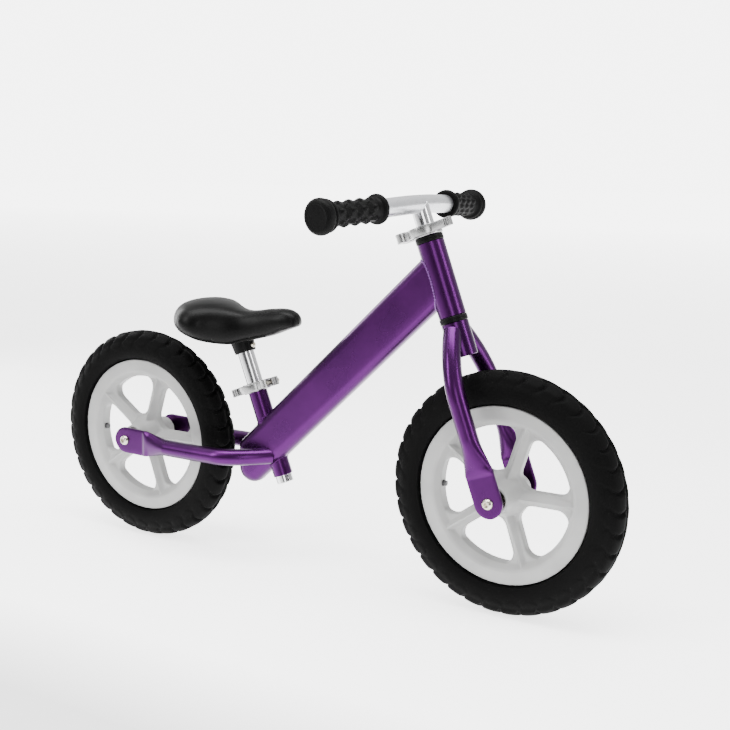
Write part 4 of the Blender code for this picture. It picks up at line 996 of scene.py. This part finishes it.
def clamp_lever(name, matrix, middle, tube, ears, tip_out):
    """The lever's middle line gets a thickness, a forked head on the pin and a ribbed tip."""
    ring = tube + RING_WALL
    pin = Vector((ring + SKEWER_OUT, -(EAR_HALF + CAM_RADIUS + GAP)))
    follow = ring + 0.002 + LEVER_THICK / 2
    spine = [Vector((pin.x, pin.y - 0.001))]
    spine += [Vector(p) for p in arc((0, 0), follow, -math.pi / 4, -3 * math.pi / 4, 20)]
    spine.append(Vector((-(follow + ring + tip_out) / 2, spine[-1].y + 0.0005)))
    spine.append(Vector((-(ring + tip_out), spine[-1].y - 0.0025)))
    edge = 0.0008
    outer, inner = [], []
    for i, point in enumerate(spine):
        ahead = (spine[min(i + 1, len(spine) - 1)] - spine[max(i - 1, 0)]).normalized()
        flare = 1 + 0.25 * max(0, (i - 20) / 2)   # only past the part that follows the ring
        side = Vector((-ahead.y, ahead.x)) * (LEVER_THICK * flare / 2 - edge)
        outer.append(point + side)
        inner.append(point - side)
    outline = [(ears * p.x, p.y) for p in (outer + inner[::-1])]
    if ears > 0:
        outline.reverse()
    blade = plate(name, outline, CLAMP_TALL / 2 - 0.001, edge, Matrix.Translation((0, 0, middle)))
    tall = CLAMP_TALL / 2 - 0.0005
    barrel = spun("barrel", sleeve(0, CAM_RADIUS, -tall, tall, 0.0007),
                  Matrix.Translation((ears * pin.x, pin.y, middle)), 48)
    cut(blade, barrel, "UNION")
    fork = (ears * (pin.x + 0.0028), pin.y + 0.0030, middle)
    cut(blade, placed(block("fork_slot", (0.0168, 0.0170, 0.0060)), Matrix.Translation(fork)))
    tip, rib_tall = spine[-1], CLAMP_TALL / 2 - 0.0016
    for i in range(3):
        spot = (ears * (tip.x + 0.002 + 0.0032 * i), tip.y - 0.0026 + 0.0006 * i, middle)
        rib = spun("rib", sleeve(0, 0.0009, -rib_tall, rib_tall, 0.0003), Matrix.Translation(spot), 12)
        cut(blade, rib, "UNION")
    return placed(blade, matrix)


for prefix, matrix, low, tube, ears, tip_out, body in CLAMPS:
    middle = low + CLAMP_TALL / 2
    settle(clamp_collar(f"{prefix}_collar", matrix, middle, tube, ears), CLAMP_METAL,
           "polished_aluminium", body, f"{prefix}_clamp_collar", smooth=30)
    settle(clamp_lever(f"{prefix}_lever", matrix, middle, tube, ears, tip_out), CLAMP_METAL,
           "polished_aluminium", f"{prefix}_lever", f"{prefix}_clamp_lever", smooth=30)
    nut_at = matrix @ Matrix.Translation((ears * (tube + RING_WALL + SKEWER_OUT), 0, middle)) @ LYING
    nut = [
        (0.0028, 0.0063), (0.0053, 0.0063), (0.0055, 0.0068), (0.0055, 0.0095), (0.0046, 0.0104),
        (0.0046, 0.0113), (0.0028, 0.0113),
    ]
    settle(spun(f"{prefix}_thumb_nut", nut, nut_at, 40), STEEL, "plated_steel", body,
           f"{prefix}_clamp_nut")

# %% [markdown]
# ## Seat post and saddle
# The post is polished tube, open at its lower end. The saddle is a stiff tray with a conical
# socket, under a skin over foam. The skin is rolled from a row of sections, then blown up a
# little as cloth so that it sits full and soft, and never moves more than the cap allows.

# %% Seat post and socket
COLLAR_BOTTOM, SADDLE_HEIGHT = 0.122, 0.138
POST_LOW, POST_HIGH = -0.0585, 0.1525             # along the seat axis; the same tube as the stem
SADDLE = Matrix.Translation(SEAT @ Vector((0, 0, SADDLE_HEIGHT)))
settle(
    spun("polished_post", sleeve(STEM_BORE, TUBE_RADIUS, POST_LOW, POST_HIGH, 0.0004), SEAT, 80),
    POLISHED, "polished_aluminium", "seat", "seat_post",
)

# Each section: distance ahead of the socket, half width, top and lower edge above it.
SECTIONS = (
    (-0.1000, 0.0180, 0.0340, 0.0160), (-0.0950, 0.0265, 0.0410, 0.0145),
    (-0.0860, 0.0385, 0.0475, 0.0130), (-0.0730, 0.0505, 0.0517, 0.0112),
    (-0.0560, 0.0585, 0.0530, 0.0080), (-0.0380, 0.0555, 0.0515, 0.0030),
    (-0.0200, 0.0410, 0.0475, -0.0007), (-0.0030, 0.0300, 0.0428, -0.0012),
    (0.0140, 0.0235, 0.0403, 0.0030), (0.0330, 0.0200, 0.0425, 0.0080),
    (0.0530, 0.0180, 0.0462, 0.0135), (0.0720, 0.0165, 0.0490, 0.0210),
    (0.0850, 0.0145, 0.0470, 0.0258), (0.0940, 0.0115, 0.0415, 0.0285),
)


def between(share, column):
    """A section's value at a share of the saddle's length, on a smooth curve."""
    last = len(SECTIONS) - 1
    i = min(last - 1, int(share * last))
    t = share * last - i
    a, b, c, d = (SECTIONS[min(last, max(0, k))][column] for k in (i - 1, i, i + 1, i + 2))
    return 0.5 * (2 * b + (c - a) * t + (2 * a - 5 * b + 4 * c - d) * t * t
                  + (3 * b - a - 3 * c + d) * t ** 3)


def saddle_spot(u, v):
    """A corner of the skin: the ends close like a ball, the nose on its lower edge."""
    x, half, top, low = (between(u, column) for column in range(4))
    close = min(u / 0.07, (1 - u) / 0.07, 1)
    closing = math.sqrt(max(0, 1 - (1 - close) ** 2))
    half *= closing
    if u > 0.5:
        closing = closing ** 0.6
    widest = low + (0.30 - 0.20 * smooth_step(0.80, 0.97, u)) * (top - low)
    pinch = low + (0.04 if u > 0.5 else 0.30) * (top - low)
    top, low = pinch + (top - pinch) * closing, pinch + (low - pinch) * closing
    widest = max(low, min(widest, top))
    angle = 2 * math.pi * v
    c, s = math.cos(angle), math.sin(angle)
    across = math.copysign(abs(c) ** 0.8, c) * half
    if s >= 0:
        return Vector((x, across, widest + (top - widest) * s ** 0.85))
    return Vector((x, across * 0.98, widest - (widest - low) * min(1, abs(s) * 1.6) ** 0.7))


CAP = 0.0016                                      # the farthest that the cloth may move
saddle = rolled("saddle_pad", 60, 48, saddle_spot, SADDLE)
applied(saddle, "REMESH", mode="VOXEL", voxel_size=0.004, adaptivity=0.0)
rest = [corner.co.copy() for corner in saddle.data.vertices]
pump = saddle.modifiers.new("cloth", "CLOTH")
pump.settings.use_pressure = True
pump.settings.uniform_pressure_force = 4
pump.settings.effector_weights.gravity = 0
for number in range(1, 21):
    bpy.context.scene.frame_set(number)
blown = saddle.evaluated_get(bpy.context.evaluated_depsgraph_get()).data
pushed = [corner.co.copy() for corner in blown.vertices]
saddle.modifiers.remove(pump)
bpy.context.scene.frame_set(1)
moved = 0.0
for corner, start, end in zip(saddle.data.vertices, rest, pushed):
    step = end - start
    if step.length > CAP:
        step = step.normalized() * CAP
    corner.co = start + step
    moved = max(moved, step.length)
applied(saddle, "SMOOTH", factor=0.5, iterations=4)
applied(saddle, "SUBSURF", levels=1, render_levels=1)
print(f"the saddle's skin moved by up to {moved * 1000:.1f} mm")
settle(saddle, SADDLE_SKIN, "saddle_cover", "seat", "saddle_cover", smooth=60)


# %% Saddle tray, socket and screw
def tray_spot(u, v):
    """A flat tray just inside the skin's lower edge."""
    share = 0.14 + 0.60 * u
    x, half, top, low = (between(share, column) for column in range(4))
    angle = 2 * math.pi * v
    c, s = math.cos(angle), math.sin(angle)
    across = math.copysign(abs(c) ** 0.35, c) * half * 0.80
    return Vector((x, across, low + 0.0006 + 0.0022 * math.copysign(abs(s) ** 0.5, s)))


tray = rolled("saddle_tray", 48, 40, tray_spot, SADDLE)
cone = [
    (0, COLLAR_BOTTOM), (0.0136, COLLAR_BOTTOM), (0.0142, COLLAR_BOTTOM + 0.0006),
    (0.0158, SADDLE_HEIGHT), (0.0163, SADDLE_HEIGHT + 0.004), (0.0163, SADDLE_HEIGHT + 0.0172),
    (0, SADDLE_HEIGHT + 0.0172),
]
cut(tray, spun("cone", cone, SEAT, 72), "UNION")
cut(tray, rod("bore", TUBE_RADIUS + 0.0002, 0.10, 0.153, SEAT, 72))
settle(tray, BLACK, "black_plastic", "seat", "saddle_base", smooth=35)

SCREW_DROP = 0.0095
FORWARDS = Matrix.Rotation(math.pi / 2, 4, "Y")
SCREW_AT = SEAT @ Matrix.Translation((0, 0, SADDLE_HEIGHT - SCREW_DROP)) @ FORWARDS
screw_section = [
    (0, 0.0114), (0.0024, 0.0114), (0.0024, 0.0152), (0.0040, 0.0152), (0.0040, 0.0160),
    (0.0034, 0.0174), (0.0020, 0.0180), (0, 0.0180),
]
screw = spun("socket_screw", screw_section, SCREW_AT, 40)
cut(screw, rod("socket", 0.0014, 0.0168, 0.02, SCREW_AT, 6))
settle(screw, STEEL, "plated_steel", "seat", "saddle_screw", smooth=30)

# %% [markdown]
# ## Seams on the frame
# The seat tube has a bead where it goes into the top of the main tube and one where it comes out
# below. Each follows the line where a round tube passes through a flat face.


# %% Smaller welds
def ring_seam(origin, axis, radius, plane_point, plane_normal, count=64):
    """Where a round tube passes through a flat face."""
    other = LEFT.cross(axis).normalized()
    points = []
    for i in range(count):
        angle = 2 * math.pi * i / count
        start = origin + (LEFT * math.cos(angle) + other * math.sin(angle)) * radius
        rise = (plane_point - start).dot(plane_normal) / axis.dot(plane_normal)
        points.append(start + axis * rise)
    return points


SEAM_SUNK = 0.0016                                # the beads' middle lies inside the rounded edge
for name, way in (("upper", 1), ("lower", -1)):
    level = MAIN_FRONT + ACROSS_MAIN * way * (MAIN_HALF_HEIGHT - SEAM_SUNK)
    seam = ring_seam(SEAT_POINT, UP_SEAT, SEAT_TUBE_RADIUS, level, ACROSS_MAIN)
    bead(f"weld_seat_tube_{name}", seam, "frame", 0.0015, finish=PURPLE)

# %% [markdown]
# ## The plain inner pieces
# What stays from the model gets a finish too: axles, pins and skewers are plated steel.

# %% Finish the nodes that stay
for name, node in frame["nodes"].items():
    node.data.materials.clear()
    node.data.materials.append(STEEL)

# %% [markdown]
# ## Stage, light and camera
# A pale floor and soft lights, as in a product studio: one long panel over the bike and four
# strips round it, which draw the streaks on the round tubes. The floor glows under the bike and
# behind it, and not in front, so that the flat sides mirror something darker. The camera stands
# to the front right, a little above the bar.

# %% Stage
bpy.ops.object.select_all(action="DESELECT")
bpy.ops.mesh.primitive_plane_add(size=30, location=(0, 0, 0))
floor = named(bpy.context.object, "studio_floor")
paper, paper_tree, paper_shader = surface("white_paper", roughness=0.9)
paper_shader.inputs["Emission Color"].default_value = (1, 1, 1, 1)
floor_place = stretched(paper_tree, (1, 1, 1)).outputs["Vector"]
varied(paper_tree, paper_shader, floor_place, ("#F4F4F4", "#F8F8F8"), 3)
across_floor = add(paper_tree, "SeparateXYZ", {"Vector": floor_place}).outputs["Y"]
glow = add(paper_tree, "MapRange", {"Value": across_floor, "From Min": -0.45, "From Max": -0.28,
                                    "To Min": 0.0, "To Max": 2.4})
beyond = add(paper_tree, "MapRange", {"Value": across_floor, "From Min": 1.0, "From Max": 7.0,
                                      "To Min": 0.0, "To Max": 2.6})
whole = add(paper_tree, "Math", {0: glow.outputs["Result"], 1: beyond.outputs["Result"]}, operation="ADD")
paper_tree.links.new(whole.outputs["Value"], paper_shader.inputs["Emission Strength"])
floor.data.materials.append(paper)

world = bpy.data.worlds.new("studio")
bpy.context.scene.world = world
world.use_nodes = True
sky = world.node_tree
BRIGHT_SIDE = (-0.31, 0.50, 0.81)                 # up, behind the bike and a little to its rear
heading = add(sky, "VectorMath", {0: add(sky, "TexCoord").outputs["Generated"], 1: BRIGHT_SIDE},
              operation="DOT_PRODUCT")
toward = add(sky, "MapRange", {"Value": heading.outputs["Value"], "From Min": -0.50, "From Max": 0.85,
                               "To Min": 0.06, "To Max": 1.0})
seen = add(sky, "LightPath").outputs["Is Camera Ray"]      # the backdrop itself is evenly bright
shown = add(sky, "Math", {0: toward.outputs["Result"], 1: seen}, operation="MAXIMUM")
sky.links.new(shown.outputs["Value"], sky.nodes["Background"].inputs["Color"])
power = add(sky, "MapRange", {"Value": seen, "To Min": 1.5, "To Max": 6.0})
sky.links.new(power.outputs["Result"], sky.nodes["Background"].inputs["Strength"])


def panel(name, place, target, size, power):
    """A soft rectangular light that faces a point."""
    light = bpy.data.lights.new(name, "AREA")
    light.shape = "RECTANGLE"
    light.size, light.size_y = size
    light.energy = power
    holder = bpy.data.objects.new(name, light)
    holder.location = place
    holder.rotation_euler = (Vector(target) - Vector(place)).to_track_quat("-Z", "Y").to_euler()
    bpy.context.scene.collection.objects.link(holder)


panel("overhead", (0.1, -0.3, 1.9), (0, 0, 0.2), (2.0, 0.7), 60)
panel("key", (-1.3, -1.9, 1.5), (0, 0, 0.25), (0.5, 1.4), 40)
panel("left_strip", (-1.7, 0.3, 0.75), (0, 0, 0.3), (0.4, 1.2), 16)
panel("camera_side", (1.5, -2.1, 0.9), (0, 0, 0.3), (0.7, 1.2), 16)
panel("front_fill", (2.2, 0.3, 0.9), (0, 0, 0.25), (0.3, 1.6), 22)

# %% Camera
RIGHT = Vector((0.85139, 0.52453, 0.00329)).normalized()
AHEAD = Vector((-0.51526, 0.83749, -0.18197)).normalized()
STANDPOINT = (0.81804, -1.19558, 0.54228)
lens = bpy.data.cameras.new("camera")
lens.lens, lens.sensor_width = 56.47, 36
camera = bpy.data.objects.new("camera", lens)
bpy.context.scene.collection.objects.link(camera)
up = RIGHT.cross(AHEAD).normalized()
turned_to = Matrix((RIGHT, up, -AHEAD)).transposed().to_4x4()
camera.matrix_world = Matrix.Translation(STANDPOINT) @ turned_to
bpy.context.scene.camera = camera
